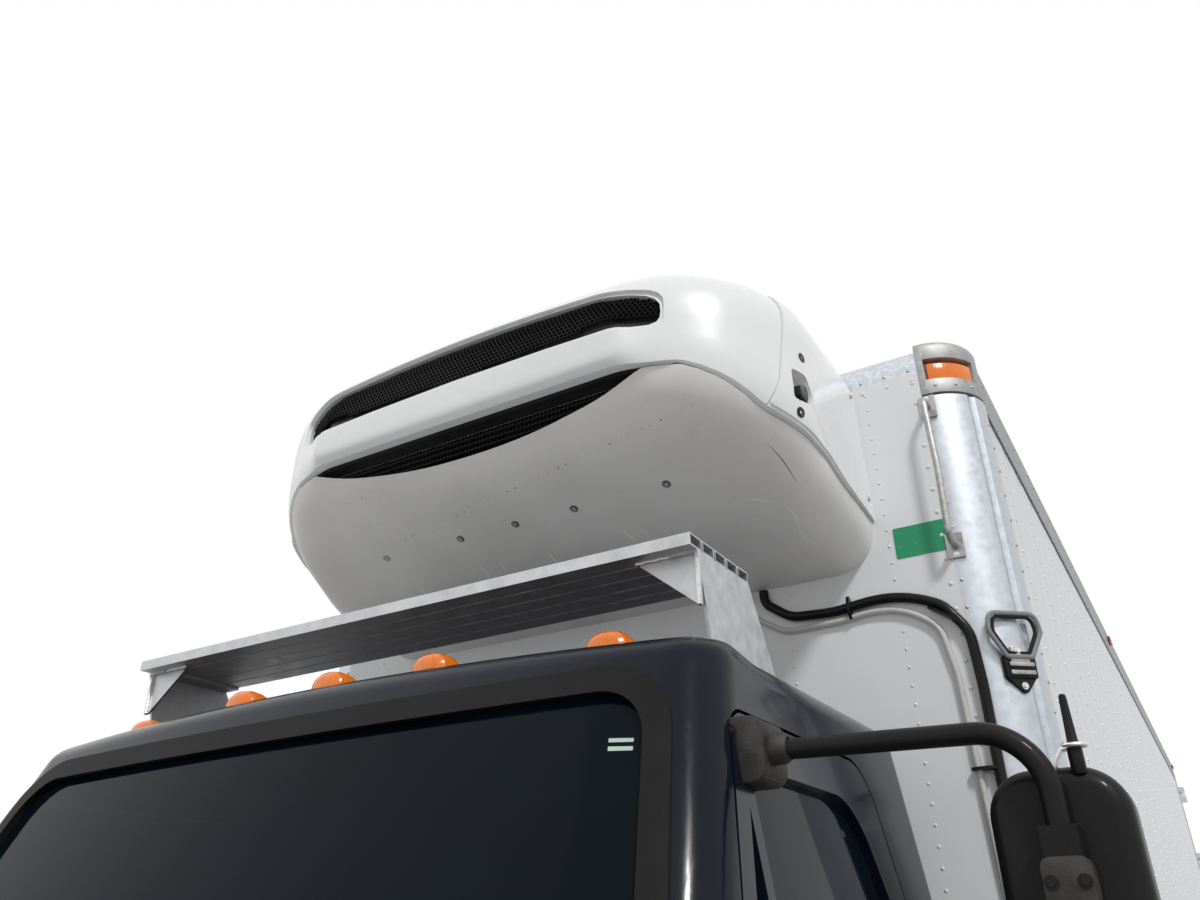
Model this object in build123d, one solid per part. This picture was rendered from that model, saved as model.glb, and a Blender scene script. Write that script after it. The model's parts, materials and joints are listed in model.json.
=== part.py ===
from build123d import *
import os
from math import cos, pi, radians, sin, sqrt

# Refrigerated straight truck: conventional day cab, insulated body, nose-mounted cooling unit.
# Millimetres. The front faces -Y, the driver's side is +X, the tyres stand on z = 0.

# Layout along the truck
bumper_to_wall = 2850
cab_to_wall = 150
bumper_to_axle = 1030
wheelbase = 7010
body_length = 8534
hinge_offset = 30
hinge_knuckle = 14
wall_y = (bumper_to_wall - body_length - hinge_offset - hinge_knuckle) / 2
bumper_y = wall_y - bumper_to_wall
cab_back_y = wall_y - cab_to_wall
front_axle_y = bumper_y + bumper_to_axle
rear_axle_y = front_axle_y + wheelbase
body_rear_y = wall_y + body_length

# Chassis frame
rail_half = 432
rail_height = 270
rail_flange = 80
rail_wall = 8
rail_top = 1000
rail_setback = 190
rail_bottom = rail_top - rail_height
rail_front_y = bumper_y + rail_setback
rail_rear_y = body_rear_y - 130
web_inside = rail_half - rail_wall

# Tyres and rims
tyre_radius = 510
tyre_width = 278
tread_half = 120
bead_radius = 286
rim_half = 105
rim_wall = 9
flange_radius = 302
disc_wall = 11
disc_radius = 175
hub_radius = 108
hand_holes = 5
hand_hole = 58
hand_hole_circle = 208
running_fit = 0.05
seat_gap = 0.3

# Front axle and steering
front_track = 2030
kingpin_half = 870
kingpin_radius = 22
beam_width = 90
boss_radius = 44
ear_gap = 3
ear_height = 42
spindle_radius = 32
front_disc_offset = 150
steer_arm = 180
steer_arm_half = 26
steer_arm_wall = 24
ball_stud_radius = 9
tie_rod_radius = 17

# Rear axle
dual_half = 912
dual_offset = 170
rear_spindle_radius = 46
axle_tube_radius = 68
banjo_radius = 205

# Cab
cab_floor = 1060
cab_belt = 1700
cab_roof_edge = 2438
cab_roof_crown = 2478
cab_wall = 45
cab_floor_half = 972
cab_belt_half = 990
cab_top_half = 884
cab_top = 2500
cab_nose = 1358
cab_top_nose = 1018
cab_nose_bow = 40
cab_corner = 92
roof_round = 70
door_gap = 6
glass_inset = 12
glass_wall = 6
seal_proud = 6

# Hood and bumper
hood_front_y = bumper_y + 90
hood_rear_y = cab_back_y - 1195
hood_wall = 14
hood_gap = 14
fender_half = 1150
fender_bottom = 690
arch_radius = 602
apron_half = 600
hood_pivot_y = bumper_y + 150
hood_pivot_z = 730
bumper_top = 640
bumper_bottom = 330
bumper_half = 1180
bumper_wall = 10
bracket_wall = 14
hinge_arm_x = 412
hinge_arm_wall = 16
hood_pin_radius = 11

# Insulated body
body_half = 1219
body_top = 3575
body_floor = 1310
wall_thick = 90
front_wall_thick = 100
post_radius = 144
side_rail_drop = 215
front_rail_drop = 105
cap_drop = 95
rear_frame_depth = 100
rear_opening_half = 1119
rear_opening_top = 3400
door_clear = 5

# Cooling unit
unit_half = 890
unit_depth = 780
unit_top = 3610
unit_seam_front = 3292
unit_seam_wall = 3040
unit_base = 2905
unit_corner = 300

nodes = {}


def block(x0, x1, y0, y1, z0, z1):
    """A rectangular block between two corners."""
    size = Box(x1 - x0, y1 - y0, z1 - z0)
    return Pos((x0 + x1) / 2, (y0 + y1) / 2, (z0 + z1) / 2) * size


def rod(start, end, radius):
    """A round bar from start to end."""
    path = Line(start, end)
    return extrude(Plane(origin=start, z_dir=path % 0) * Circle(radius), amount=path.length)


def side_plate(rows, x0, x1):
    """A plate from x0 to x1. rows: y, z, corner radius of its outline seen from the side."""
    path = FilletPolyline(*[(x0, y, z) for y, z, _ in rows], radius=[r for _, _, r in rows], close=True)
    return extrude(make_face(path), amount=x1 - x0, dir=(1, 0, 0))


def plan_plate(rows, z0, z1):
    """A plate from z0 to z1. rows: x, y, corner radius of its outline seen from above."""
    path = FilletPolyline(*[(x, y, z0) for x, y, _ in rows], radius=[r for _, _, r in rows], close=True)
    return extrude(make_face(path), amount=z1 - z0, dir=(0, 0, 1))


def front_plate(rows, y0, y1):
    """A plate from y0 to y1. rows: x, z, corner radius of its outline seen from the front."""
    path = FilletPolyline(*[(x, y0, z) for x, z, _ in rows], radius=[r for _, _, r in rows], close=True)
    return extrude(make_face(path), amount=y1 - y0, dir=(0, 1, 0))


def turned(rows, x_shift=0, side=1):
    """A ring turned about the X axis. rows: x, radius, corner radius of its section."""
    points = [(side * x + x_shift, 0, r) for x, r, _ in rows]
    path = FilletPolyline(*points, radius=[f for _, _, f in rows], close=True)
    return revolve(make_face(path), axis=Axis.X)


def flipped(shape):
    """The same shape on the other side of the truck."""
    return mirror(shape, about=Plane.YZ)


def pair(shape):
    """A shape and its mirror image."""
    return [shape, flipped(shape)]


def add_node(name, *solids):
    """Keep the solids of one named piece."""
    nodes[name] = list(solids)


# Chassis: two C rails, open side inwards, joined by cross-members

def chassis_rail():
    flange_edge = rail_half - rail_flange
    outer = block(flange_edge, rail_half, rail_front_y, rail_rear_y, rail_bottom, rail_top)
    inside = block(flange_edge - 1, web_inside, rail_front_y - 1, rail_rear_y + 1,
                   rail_bottom + rail_wall, rail_top - rail_wall)
    return outer - inside


add_node("frame_rails", *pair(chassis_rail()))

# Cross-member stations, measured back from the front wall of the body
cross_stations = [-2500, -340, 650, 1650, 2650, 3650, 4560, 5760, 6600, 7500, 8340]
cross_depth = 60
cross_wall = 7
cross_top = rail_top - 20
cross_bottom = rail_bottom + 35


def cross_member(station):
    y = wall_y + station
    outer = block(-web_inside, web_inside, y, y + cross_depth, cross_bottom, cross_top)
    inside = block(-web_inside - 1, web_inside + 1, y + cross_wall, y + cross_depth + 1,
                   cross_bottom + cross_wall, cross_top - cross_wall)
    return outer - inside


add_node("cross_members", *[cross_member(station) for station in cross_stations])

# Front bumper: bowed steel section on two brackets
bumper_bow = 150
bumper_return = 110


def front_bumper():
    y_end = bumper_y + bumper_bow
    y_tail = y_end + bumper_return
    outer = make_face([
        ThreePointArc((-bumper_half, y_end, bumper_bottom), (0, bumper_y, bumper_bottom),
                      (bumper_half, y_end, bumper_bottom)),
        Line((bumper_half, y_end, bumper_bottom), (bumper_half, y_tail, bumper_bottom)),
        Line((bumper_half, y_tail, bumper_bottom), (-bumper_half, y_tail, bumper_bottom)),
        Line((-bumper_half, y_tail, bumper_bottom), (-bumper_half, y_end, bumper_bottom)),
    ])
    shell = extrude(outer, amount=bumper_top - bumper_bottom, dir=(0, 0, 1))
    half = bumper_half - bumper_wall
    inner = make_face([
        ThreePointArc((-half, y_end + bumper_wall, bumper_bottom + bumper_wall),
                      (0, bumper_y + bumper_wall, bumper_bottom + bumper_wall),
                      (half, y_end + bumper_wall, bumper_bottom + bumper_wall)),
        Line((half, y_end + bumper_wall, bumper_bottom + bumper_wall),
             (half, y_tail + 1, bumper_bottom + bumper_wall)),
        Line((half, y_tail + 1, bumper_bottom + bumper_wall),
             (-half, y_tail + 1, bumper_bottom + bumper_wall)),
        Line((-half, y_tail + 1, bumper_bottom + bumper_wall),
             (-half, y_end + bumper_wall, bumper_bottom + bumper_wall)),
    ])
    hollow = extrude(inner, amount=bumper_top - bumper_bottom - 2 * bumper_wall, dir=(0, 0, 1))
    body = shell - hollow
    lug = 20
    bracket = side_plate([
        (bumper_y + 5, bumper_bottom + 60, 0),
        (bumper_y + 5, bumper_top - 20, 0),
        (hood_pivot_y - lug, bumper_top - 20, 0),
        (hood_pivot_y - lug, hood_pivot_z + lug, lug - 1),
        (rail_front_y, rail_top - 90, 20),
        (rail_front_y + 120, rail_top - 90, 20),
        (rail_front_y + 120, rail_bottom + 10, 20),
        (hood_pivot_y - lug, bumper_bottom + 60, 0),
    ], rail_half, rail_half + bracket_wall)
    bracket += rod((hinge_arm_x - 4, hood_pivot_y, hood_pivot_z), (rail_half + 1, hood_pivot_y, hood_pivot_z),
                   hood_pin_radius)
    body = body + bracket + flipped(bracket)
    trim = make_face([
        ThreePointArc((-bumper_half, y_end, bumper_bottom), (0, bumper_y, bumper_bottom),
                      (bumper_half, y_end, bumper_bottom)),
        Line((bumper_half, y_end, bumper_bottom), (bumper_half, bumper_y - 50, bumper_bottom)),
        Line((bumper_half, bumper_y - 50, bumper_bottom), (-bumper_half, bumper_y - 50, bumper_bottom)),
        Line((-bumper_half, bumper_y - 50, bumper_bottom), (-bumper_half, y_end, bumper_bottom)),
    ])
    return body - extrude(trim, amount=bumper_top - bumper_bottom, dir=(0, 0, 1))


add_node("front_bumper", front_bumper())

# Engine and gearbox: one plain mass on its feet
engine_half = 300
engine_bottom = 620
engine_top = 1330
gearbox_half = 180
engine_front_y = wall_y - 2430
engine_rear_y = wall_y - 1545
gearbox_rear_y = wall_y - 400


def engine():
    body = block(-engine_half, engine_half, engine_front_y, engine_rear_y, engine_bottom, engine_top)
    body += block(-gearbox_half, gearbox_half, engine_rear_y - 1, gearbox_rear_y, engine_bottom, rail_top - 20)
    foot_low = rail_bottom + 40
    body += block(-web_inside, web_inside, front_axle_y - 60, front_axle_y + 60, foot_low, foot_low + 80)
    body += block(-web_inside, web_inside, gearbox_rear_y - 200, gearbox_rear_y - 120, foot_low, foot_low + 80)
    return body


add_node("engine", engine())

# Leaf springs with their hangers
front_spring_x = (356, 428)
front_spring_half = 640
spring_leaf = 60
beam_top = 480


def leaf_pack(x_range, y_mid, half, low, rise):
    x0, x1 = x_range
    eye_z = low + rise
    path = [
        ThreePointArc((x0, y_mid - half, eye_z), (x0, y_mid, low), (x0, y_mid + half, eye_z)),
        Line((x0, y_mid + half, eye_z), (x0, y_mid + half, eye_z + 16)),
        ThreePointArc((x0, y_mid + half, eye_z + 16), (x0, y_mid, low + spring_leaf),
                      (x0, y_mid - half, eye_z + 16)),
        Line((x0, y_mid - half, eye_z + 16), (x0, y_mid - half, eye_z)),
    ]
    return extrude(make_face(path), amount=x1 - x0, dir=(1, 0, 0))


def front_spring():
    x0, x1 = front_spring_x
    body = leaf_pack(front_spring_x, front_axle_y, front_spring_half, beam_top, 130)
    body += block(x0, x1, front_axle_y - 70, front_axle_y + 70, beam_top, beam_top + spring_leaf + 12)
    for end in (-1, 1):
        y = front_axle_y + end * front_spring_half
        body += side_plate([
            (y - 45, rail_bottom, 0),
            (y - 28, beam_top + 105, 25),
            (y + 28, beam_top + 105, 25),
            (y + 45, rail_bottom, 0),
        ], x0, x1)
    return body


add_node("front_springs", *pair(front_spring()))

# Front axle: dropped beam with a boss and a kingpin at each end
beam_drop = 395
kingpin_z = tyre_radius


def front_axle():
    rows_half = [
        # x, z, corner radius
        (560, beam_top, 120),
        (700, kingpin_z + 32, 80),
        (kingpin_half, kingpin_z + 38, 0),
        (kingpin_half, kingpin_z - 38, 0),
        (700, kingpin_z - 60, 100),
        (540, beam_drop, 120),
    ]
    rows = rows_half + [(-x, z, r) for x, z, r in reversed(rows_half)]
    y0 = front_axle_y - beam_width / 2
    beam = front_plate(rows, y0, y0 + beam_width)
    for side in (-1, 1):
        x = side * kingpin_half
        beam += Pos(x, front_axle_y, kingpin_z) * Cylinder(boss_radius, 90)
        pin_reach = 45 + ear_gap + ear_height + 6
        beam += Pos(x, front_axle_y, kingpin_z) * Cylinder(kingpin_radius, 2 * pin_reach)
    return beam


add_node("front_axle", front_axle())

# Steering knuckle: two ears on the kingpin, a stub axle and an arm to the tie rod
knuckle_plate_x = kingpin_half + 52
drum_back_x = kingpin_half + 118


def knuckle():
    ear_low = 45 + ear_gap
    body = block(knuckle_plate_x, knuckle_plate_x + 34, front_axle_y - 70, front_axle_y + 70,
                 kingpin_z - ear_low - ear_height, kingpin_z + ear_low + ear_height)
    for end in (-1, 1):
        z = kingpin_z + end * (ear_low + ear_height / 2)
        body += Pos(kingpin_half, front_axle_y, z) * Cylinder(boss_radius, ear_height)
        body += block(kingpin_half, knuckle_plate_x + 1, front_axle_y - boss_radius, front_axle_y + boss_radius,
                      z - ear_height / 2, z + ear_height / 2)
    tip_x = front_track / 2 + front_disc_offset + 20
    body += rod((knuckle_plate_x + 33, front_axle_y, kingpin_z), (drum_back_x, front_axle_y, kingpin_z), 55)
    body += rod((drum_back_x - 1, front_axle_y, kingpin_z), (tip_x, front_axle_y, kingpin_z), spindle_radius)
    # The arm leaves the lower ear straight rearwards, so that both arms and the tie rod keep a parallelogram
    arm_z = kingpin_z - ear_low - ear_height
    arm_tip_y = front_axle_y + steer_arm
    body += plan_plate([
        (kingpin_half + steer_arm_half + 6, front_axle_y + 20, 0),
        (kingpin_half + steer_arm_half, arm_tip_y + steer_arm_half, 25),
        (kingpin_half - steer_arm_half, arm_tip_y + steer_arm_half, 25),
        (kingpin_half - steer_arm_half - 6, front_axle_y + 20, 0),
    ], arm_z, arm_z + steer_arm_wall)
    body -= Pos(kingpin_half, front_axle_y, kingpin_z) * Cylinder(kingpin_radius + running_fit, 400)
    return body - Pos(kingpin_half, arm_tip_y, arm_z) * Cylinder(ball_stud_radius + running_fit, 200)


add_node("knuckle_left", knuckle())
add_node("knuckle_right", flipped(knuckle()))

# Tie rod: carried on a ball stud under each steering arm
tie_rod_y = front_axle_y + steer_arm
arm_bottom = kingpin_z - 45 - ear_gap - ear_height
tie_rod_z = arm_bottom - 32


def tie_rod():
    body = rod((-kingpin_half, tie_rod_y, tie_rod_z), (kingpin_half, tie_rod_y, tie_rod_z), tie_rod_radius)
    for side in (-1, 1):
        body += Pos(side * kingpin_half, tie_rod_y, tie_rod_z) * Cylinder(26, 44)
        stud = Cylinder(ball_stud_radius, 44 + steer_arm_wall)
        body += Pos(side * kingpin_half, tie_rod_y, tie_rod_z + 22 + 12) * stud
    return body


add_node("tie_rod", tie_rod())


# Wheels: a tyre ring, a rim with its disc, and the hub with the brake drum

def tyre(x_mid):
    half = tyre_width / 2
    rows = [
        # x, radius, corner radius
        (-rim_half, bead_radius, 0),
        (-rim_half - 3, flange_radius, 0),
        (-rim_half - 12, flange_radius + 3, 0),
        (-half, bead_radius + 112, 70),
        (-tread_half, tyre_radius - 10, 0),
        (-tread_half + 16, tyre_radius, 0),
        (tread_half - 16, tyre_radius, 0),
        (tread_half, tyre_radius - 10, 0),
        (half, bead_radius + 112, 70),
        (rim_half + 12, flange_radius + 3, 0),
        (rim_half + 3, flange_radius, 0),
        (rim_half, bead_radius, 0),
    ]
    return turned(rows, x_mid)


def rim(x_mid, disc_x, side):
    """Rim whose mounting face stands at disc_x from its mid-plane, towards side."""
    inner = bead_radius - rim_wall
    barrel = turned([
        (-rim_half - 3, flange_radius, 0),
        (-rim_half, bead_radius, 0),
        (rim_half, bead_radius, 0),
        (rim_half + 3, flange_radius, 0),
        (rim_half + 10, flange_radius, 0),
        (rim_half + 6, inner, 0),
        (-rim_half - 6, inner, 0),
        (-rim_half - 10, flange_radius, 0),
    ], x_mid)
    root = 60 if disc_x < rim_half + 50 else 70
    disc = turned([
        (root, inner + 2, 0),
        (root + 26, inner + 2, 0),
        (disc_x + disc_wall / 2, disc_radius, 0),
        (disc_x + disc_wall / 2, hub_radius + 1, 0),
        (disc_x - disc_wall / 2, hub_radius + 1, 0),
        (disc_x - disc_wall / 2, disc_radius, 0),
    ], x_mid, side)
    holes = [
        Rot(X=360 / hand_holes * k) * rod((x_mid - 200, 0, hand_hole_circle), (x_mid + 400, 0, hand_hole_circle),
                                          hand_hole / 2)
        for k in range(hand_holes)
    ]
    slots = Part() + holes
    shell = turned([(-rim_half + 40, 120, 0), (disc_x + 40, 120, 0), (disc_x + 40, 240, 0),
                    (-rim_half + 40, 240, 0)], x_mid, side)
    return barrel + (disc - (slots & shell))


def at_axle(shape, y):
    return Pos(0, y, tyre_radius) * shape


front_x = front_track / 2


def front_hub():
    face = front_x + front_disc_offset - disc_wall / 2
    body = turned([
        (drum_back_x + 14, spindle_radius + running_fit, 0),
        (drum_back_x + 14, 100, 0),
        (face - 16, 100, 0),
        (face - 16, disc_radius - 8, 0),
        (face, disc_radius - 8, 0),
        (face, hub_radius, 0),
        (face + 18, hub_radius, 6),
        (face + 50, 70, 10),
        (face + 50, 0, 0),
        (face + 30, 0, 0),
        (face + 30, spindle_radius + running_fit, 0),
    ])
    drum = turned([
        (drum_back_x + 6, 205, 0),
        (drum_back_x + 6, 190, 0),
        (face - 30, 190, 0),
        (face - 30, 99, 0),
        (face - 15, 99, 0),
        (face - 15, 190, 0),
        (face - 30, 205, 0),
    ])
    return body + drum


def rear_hub():
    face = dual_half
    flange = disc_wall
    body = turned([
        (face - 190, rear_spindle_radius + running_fit, 0),
        (face - 190, 84, 0),
        (face - flange - 24, 100, 0),
        (face - flange - 24, disc_radius - 8, 0),
        (face - flange, disc_radius - 8, 0),
        (face - flange, hub_radius, 0),
        (face + 60, hub_radius, 8),
        (face + 76, 92, 0),
        (face + 92, 92, 6),
        (face + 92, 0, 0),
        (face + 74, 0, 0),
        (face + 74, rear_spindle_radius + running_fit, 0),
    ])
    drum = turned([
        (face - 250, 208, 0),
        (face - 250, 190, 0),
        (face - flange - 40, 190, 0),
        (face - flange - 40, 99, 0),
        (face - flange - 23, 99, 0),
        (face - flange - 23, 190, 0),
        (face - flange - 40, 208, 0),
    ])
    return body + drum


front_rim = rim(front_x, front_disc_offset, 1)
outer_rim = rim(dual_half + dual_offset, dual_offset - disc_wall / 2, -1)
inner_rim = rim(dual_half - dual_offset, dual_offset - disc_wall / 2, 1)
front_wheel = at_axle(front_rim + front_hub(), front_axle_y)
front_tyre = at_axle(tyre(front_x), front_axle_y)
rear_wheels = at_axle(outer_rim + inner_rim + rear_hub(), rear_axle_y)
outer_tyre = at_axle(tyre(dual_half + dual_offset), rear_axle_y)
inner_tyre = at_axle(tyre(dual_half - dual_offset), rear_axle_y)

for end, shape in (("left", front_wheel), ("right", flipped(front_wheel))):
    add_node("front_rim_" + end, shape)
add_node("front_tyre_left", front_tyre)
add_node("front_tyre_right", flipped(front_tyre))
for end, shape in (("left", rear_wheels), ("right", flipped(rear_wheels))):
    add_node("rear_rims_" + end, shape)
add_node("rear_tyres_left", outer_tyre, inner_tyre)
add_node("rear_tyres_right", flipped(outer_tyre), flipped(inner_tyre))

# Rear axle: tube, banjo housing and pinion nose, with the springs beside the rails
rear_spring_x = (448, 524)
rear_spring_half = 700
axle_seat = tyre_radius + axle_tube_radius + 12
pinion_reach = 380


def rear_axle():
    spindle_tip = dual_half + 66
    body = rod((-spindle_tip, rear_axle_y, tyre_radius), (spindle_tip, rear_axle_y, tyre_radius),
               rear_spindle_radius)
    tube_half = dual_half - 270
    body += rod((-tube_half, rear_axle_y, tyre_radius), (tube_half, rear_axle_y, tyre_radius), axle_tube_radius)
    banjo = rod((0, rear_axle_y - 120, tyre_radius), (0, rear_axle_y + 120, tyre_radius), banjo_radius)
    body += fillet(banjo.edges(), 50)
    body += rod((0, rear_axle_y - pinion_reach, tyre_radius), (0, rear_axle_y, tyre_radius), 85)
    for side in (-1, 1):
        x_mid = side * sum(rear_spring_x) / 2
        body += block(x_mid - 38, x_mid + 38, rear_axle_y - 75, rear_axle_y + 75, tyre_radius, axle_seat)
    return body


add_node("rear_axle", rear_axle())


def rear_spring():
    x0, x1 = rear_spring_x
    body = leaf_pack(rear_spring_x, rear_axle_y, rear_spring_half, axle_seat, 100)
    body += block(x0, x1, rear_axle_y - 80, rear_axle_y + 80, axle_seat, axle_seat + spring_leaf + 14)
    for end in (-1, 1):
        y = rear_axle_y + end * rear_spring_half
        body += side_plate([
            (y - 75, rail_top - 60, 20),
            (y - 30, axle_seat + 70, 25),
            (y + 30, axle_seat + 70, 25),
            (y + 75, rail_top - 60, 20),
        ], rail_half, x1)
    return body


add_node("rear_springs", *pair(rear_spring()))

# Driveshaft: two tubes and a centre bearing hung from a cross-member
shaft_radius = 44
shaft_front_z = 700
bearing_station = 2650


def driveshaft():
    front = (0, gearbox_rear_y, shaft_front_z)
    middle = (0, wall_y + bearing_station + cross_depth / 2, shaft_front_z - 20)
    rear = (0, rear_axle_y - pinion_reach, tyre_radius)
    body = rod(front, middle, shaft_radius)
    body += rod(middle, rear, shaft_radius)
    body += Pos(*middle) * Sphere(shaft_radius + 14)
    y = middle[1]
    body += block(-60, 60, y - 20, y + 20, shaft_front_z - 20, cross_bottom)
    reach = block(-200, 200, gearbox_rear_y, rear_axle_y - pinion_reach, 0, rail_top)
    return body & reach


add_node("driveshaft", driveshaft())

# Fuel tank on the left, battery box and steps, silencer on the right
tank_radius = 275
tank_x = 752
tank_z = 640
tank_front_y = cab_back_y - 1020
tank_rear_y = cab_back_y - 20
strap_wall = 6


def fuel_tank():
    tank = rod((tank_x, tank_front_y, tank_z), (tank_x, tank_rear_y, tank_z), tank_radius)
    tank = fillet(tank.edges(), 30)
    for y in (tank_front_y + 220, tank_rear_y - 280):
        ring = rod((tank_x, y, tank_z), (tank_x, y + 60, tank_z), tank_radius + strap_wall)
        tank += ring
        tank += side_plate([
            (y, tank_z - 180, 0),
            (y, rail_top - 60, 0),
            (y + 60, rail_top - 60, 0),
            (y + 60, tank_z - 180, 0),
        ], rail_half, tank_x - 180)
    return tank


step_outer = 1085
step_inner = 985


def steps(front_y, rear_y):
    body = block(step_inner, step_outer, front_y, rear_y, tank_z - 250, tank_z - 225)
    body += block(step_inner - 10, step_outer - 50, front_y, rear_y, tank_z + 60, tank_z + 85)
    for y in (front_y + 220, rear_y - 280):
        body += block(step_inner + 45, step_inner + 57, y, y + 60, tank_z - 250, tank_z + 85)
        body += block(tank_x + tank_radius - 22, step_inner + 57, y, y + 60, tank_z - 20, tank_z + 20)
    return body


add_node("fuel_tank", fuel_tank() + steps(tank_front_y, tank_rear_y))


def battery_box():
    x0 = rail_half
    x1 = tank_x + tank_radius - 15
    body = block(x0, x1, tank_front_y, tank_rear_y, tank_z - 260, tank_z + 250)
    body = fillet(body.edges().filter_by(Axis.Y), 30)
    return body + steps(tank_front_y, tank_rear_y)


add_node("battery_box", flipped(battery_box()))

# Cab: plan outlines lofted from floor to belt and from belt to roof

def cab_plan(half, nose, z, inset):
    """Outline at height z. nose is how far the windshield's middle stands ahead of the cab's back."""
    front = cab_back_y - nose + inset
    rear = cab_back_y - inset
    side = half - inset
    bow = front + cab_nose_bow
    face = make_face([
        ThreePointArc((-side, bow, z), (0, front, z), (side, bow, z)),
        Line((side, bow, z), (side, rear, z)),
        Line((side, rear, z), (-side, rear, z)),
        Line((-side, rear, z), (-side, bow, z)),
    ])
    return fillet(face.vertices(), cab_corner - inset / 2)


def cab_solid(inset=0):
    """The cab's outer form, set in by inset on every side."""
    floor = cab_plan(cab_floor_half, cab_nose, cab_floor + inset, inset)
    belt = cab_plan(cab_belt_half, cab_nose, cab_belt, inset)
    top = cab_plan(cab_top_half, cab_top_nose, cab_top, inset)
    body = loft([floor, belt], ruled=True) + loft([belt, top], ruled=True)
    far_y = cab_back_y - 2000
    edge_z = cab_roof_edge - inset
    under_z = cab_floor - 100
    crown = make_face([
        ThreePointArc((-1100, far_y, edge_z), (0, far_y, cab_roof_crown - inset), (1100, far_y, edge_z)),
        Line((1100, far_y, edge_z), (1100, far_y, under_z)),
        Line((1100, far_y, under_z), (-1100, far_y, under_z)),
        Line((-1100, far_y, under_z), (-1100, far_y, edge_z)),
    ])
    body = body & extrude(crown, amount=2200, dir=(0, 1, 0))
    roof = body.faces().sort_by(Axis.Z)[-1]
    return fillet(roof.edges(), roof_round - inset / 2)


cab_outer = cab_solid()
cab_inner = cab_solid(cab_wall)
cab_skin = cab_outer - cab_inner

# Door and window outlines seen from the side. Columns: distance ahead of the cab's back, z, corner radius
door_rows = [
    (1180, 1108, 30),
    (1180, 1740, 60),
    (990, 2330, 60),
    (340, 2330, 110),
    (250, 1900, 60),
    (250, 1108, 60),
]
pane_rows = [
    (1110, 1800, 40),
    (965, 2245, 50),
    (470, 2245, 150),
    (320, 1900, 60),
    (320, 1800, 40),
]
divider_ahead = 985
divider_width = 28
# Windshield and rear window outlines seen from the front. Columns: half width, z, corner radius
shield_rows = [
    (905, 1760, 70),
    (815, 2385, 120),
]
rear_window_rows = [
    (560, 1850, 60),
    (560, 2250, 60),
]


def side_cutter(rows, x0, x1, margin=0):
    """Side-view outline cut through from x0 to x1, grown by margin."""
    face = make_face(FilletPolyline(*[(x0, cab_back_y - d, z) for d, z, _ in rows],
                                    radius=[r for _, _, r in rows], close=True))
    if margin:
        face = offset(face, margin)
    return extrude(face, amount=x1 - x0, dir=(1, 0, 0))


def front_cutter(rows, y0, y1, margin=0):
    """Symmetrical front-view outline cut through from y0 to y1, grown by margin."""
    full = rows + [(-x, z, r) for x, z, r in reversed(rows)]
    face = make_face(FilletPolyline(*[(x, y0, z) for x, z, _ in full],
                                    radius=[r for _, _, r in full], close=True))
    if margin:
        face = offset(face, margin)
    return extrude(face, amount=y1 - y0, dir=(0, 1, 0))


door_hole = side_cutter(door_rows, 600, 1200)
door_core = side_cutter(door_rows, 600, 1200, -door_gap)
windshield_y = (cab_back_y - cab_nose - 100, cab_back_y - 600)
seal_width = 22


def glazing(cutter):
    layer = cab_solid(glass_inset) - cab_solid(glass_inset + glass_wall)
    return layer & cutter


def seal(outer, inner, pane):
    """A rubber ring that fills the gap round a pane and laps its edge on both sides."""
    ring = cab_solid(-seal_proud) - cab_solid(glass_inset + glass_wall + 8)
    return (ring & (outer - inner)) - glazing(pane)


rear_glass_y = (cab_back_y - 200, cab_back_y + 50)
openings = [(shield_rows, windshield_y), (rear_window_rows, rear_glass_y)]
add_node("cab_glass", *[glazing(front_cutter(rows, *span, seal_width - 6)) for rows, span in openings])
add_node("glass_seals", *[
    seal(front_cutter(rows, *span, seal_width), front_cutter(rows, *span, -seal_width),
         front_cutter(rows, *span, seal_width - 6))
    for rows, span in openings
])

# Doors: cut from the same skin, with their hinges ahead and the mirror on their front edge
door_axis_x = cab_belt_half + 12
door_axis_y = cab_back_y - 1180 + door_gap / 2
door_hinge_radius = 10
door_pin_radius = 6
door_hinge_rows = [1230, 1560]
hinge_height = 70
lug_height = 16
lug_gap = 1


def hinge_lugs():
    """The cab's side of the left door's hinges: two lugs and a pin for each knuckle."""
    lugs = Part()
    for z in door_hinge_rows:
        reach = hinge_height / 2 + lug_gap + lug_height
        lugs += Pos(door_axis_x, door_axis_y, z) * Cylinder(door_pin_radius, 2 * reach)
        for low in (z - reach, z + reach - lug_height):
            lugs += Pos(door_axis_x, door_axis_y, low + lug_height / 2) * Cylinder(door_hinge_radius, lug_height)
            lugs += block(door_axis_x - 40, door_axis_x, door_axis_y - door_hinge_radius, door_axis_y - 3,
                          low, low + lug_height)
    return lugs - cab_inner


def cab_shell():
    shell = cab_skin - door_hole - flipped(door_hole)
    shell -= front_cutter(shield_rows, *windshield_y, seal_width)
    shell -= front_cutter(rear_window_rows, cab_back_y - 200, cab_back_y + 50, seal_width)
    for x in (-rail_half + rail_flange / 2, rail_half - rail_flange / 2):
        for y in (cab_back_y - 1150, cab_back_y - 120):
            shell += Pos(x, y, (rail_top + cab_floor) / 2) * Cylinder(35, cab_floor - rail_top)
    return shell + hinge_lugs() + flipped(hinge_lugs())


add_node("cab_shell", cab_shell())


def window_divider():
    """The upright bar between the front quarter light and the sliding pane."""
    y = cab_back_y - divider_ahead
    return block(600, 1200, y, y + divider_width, 1700, 2300)


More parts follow.
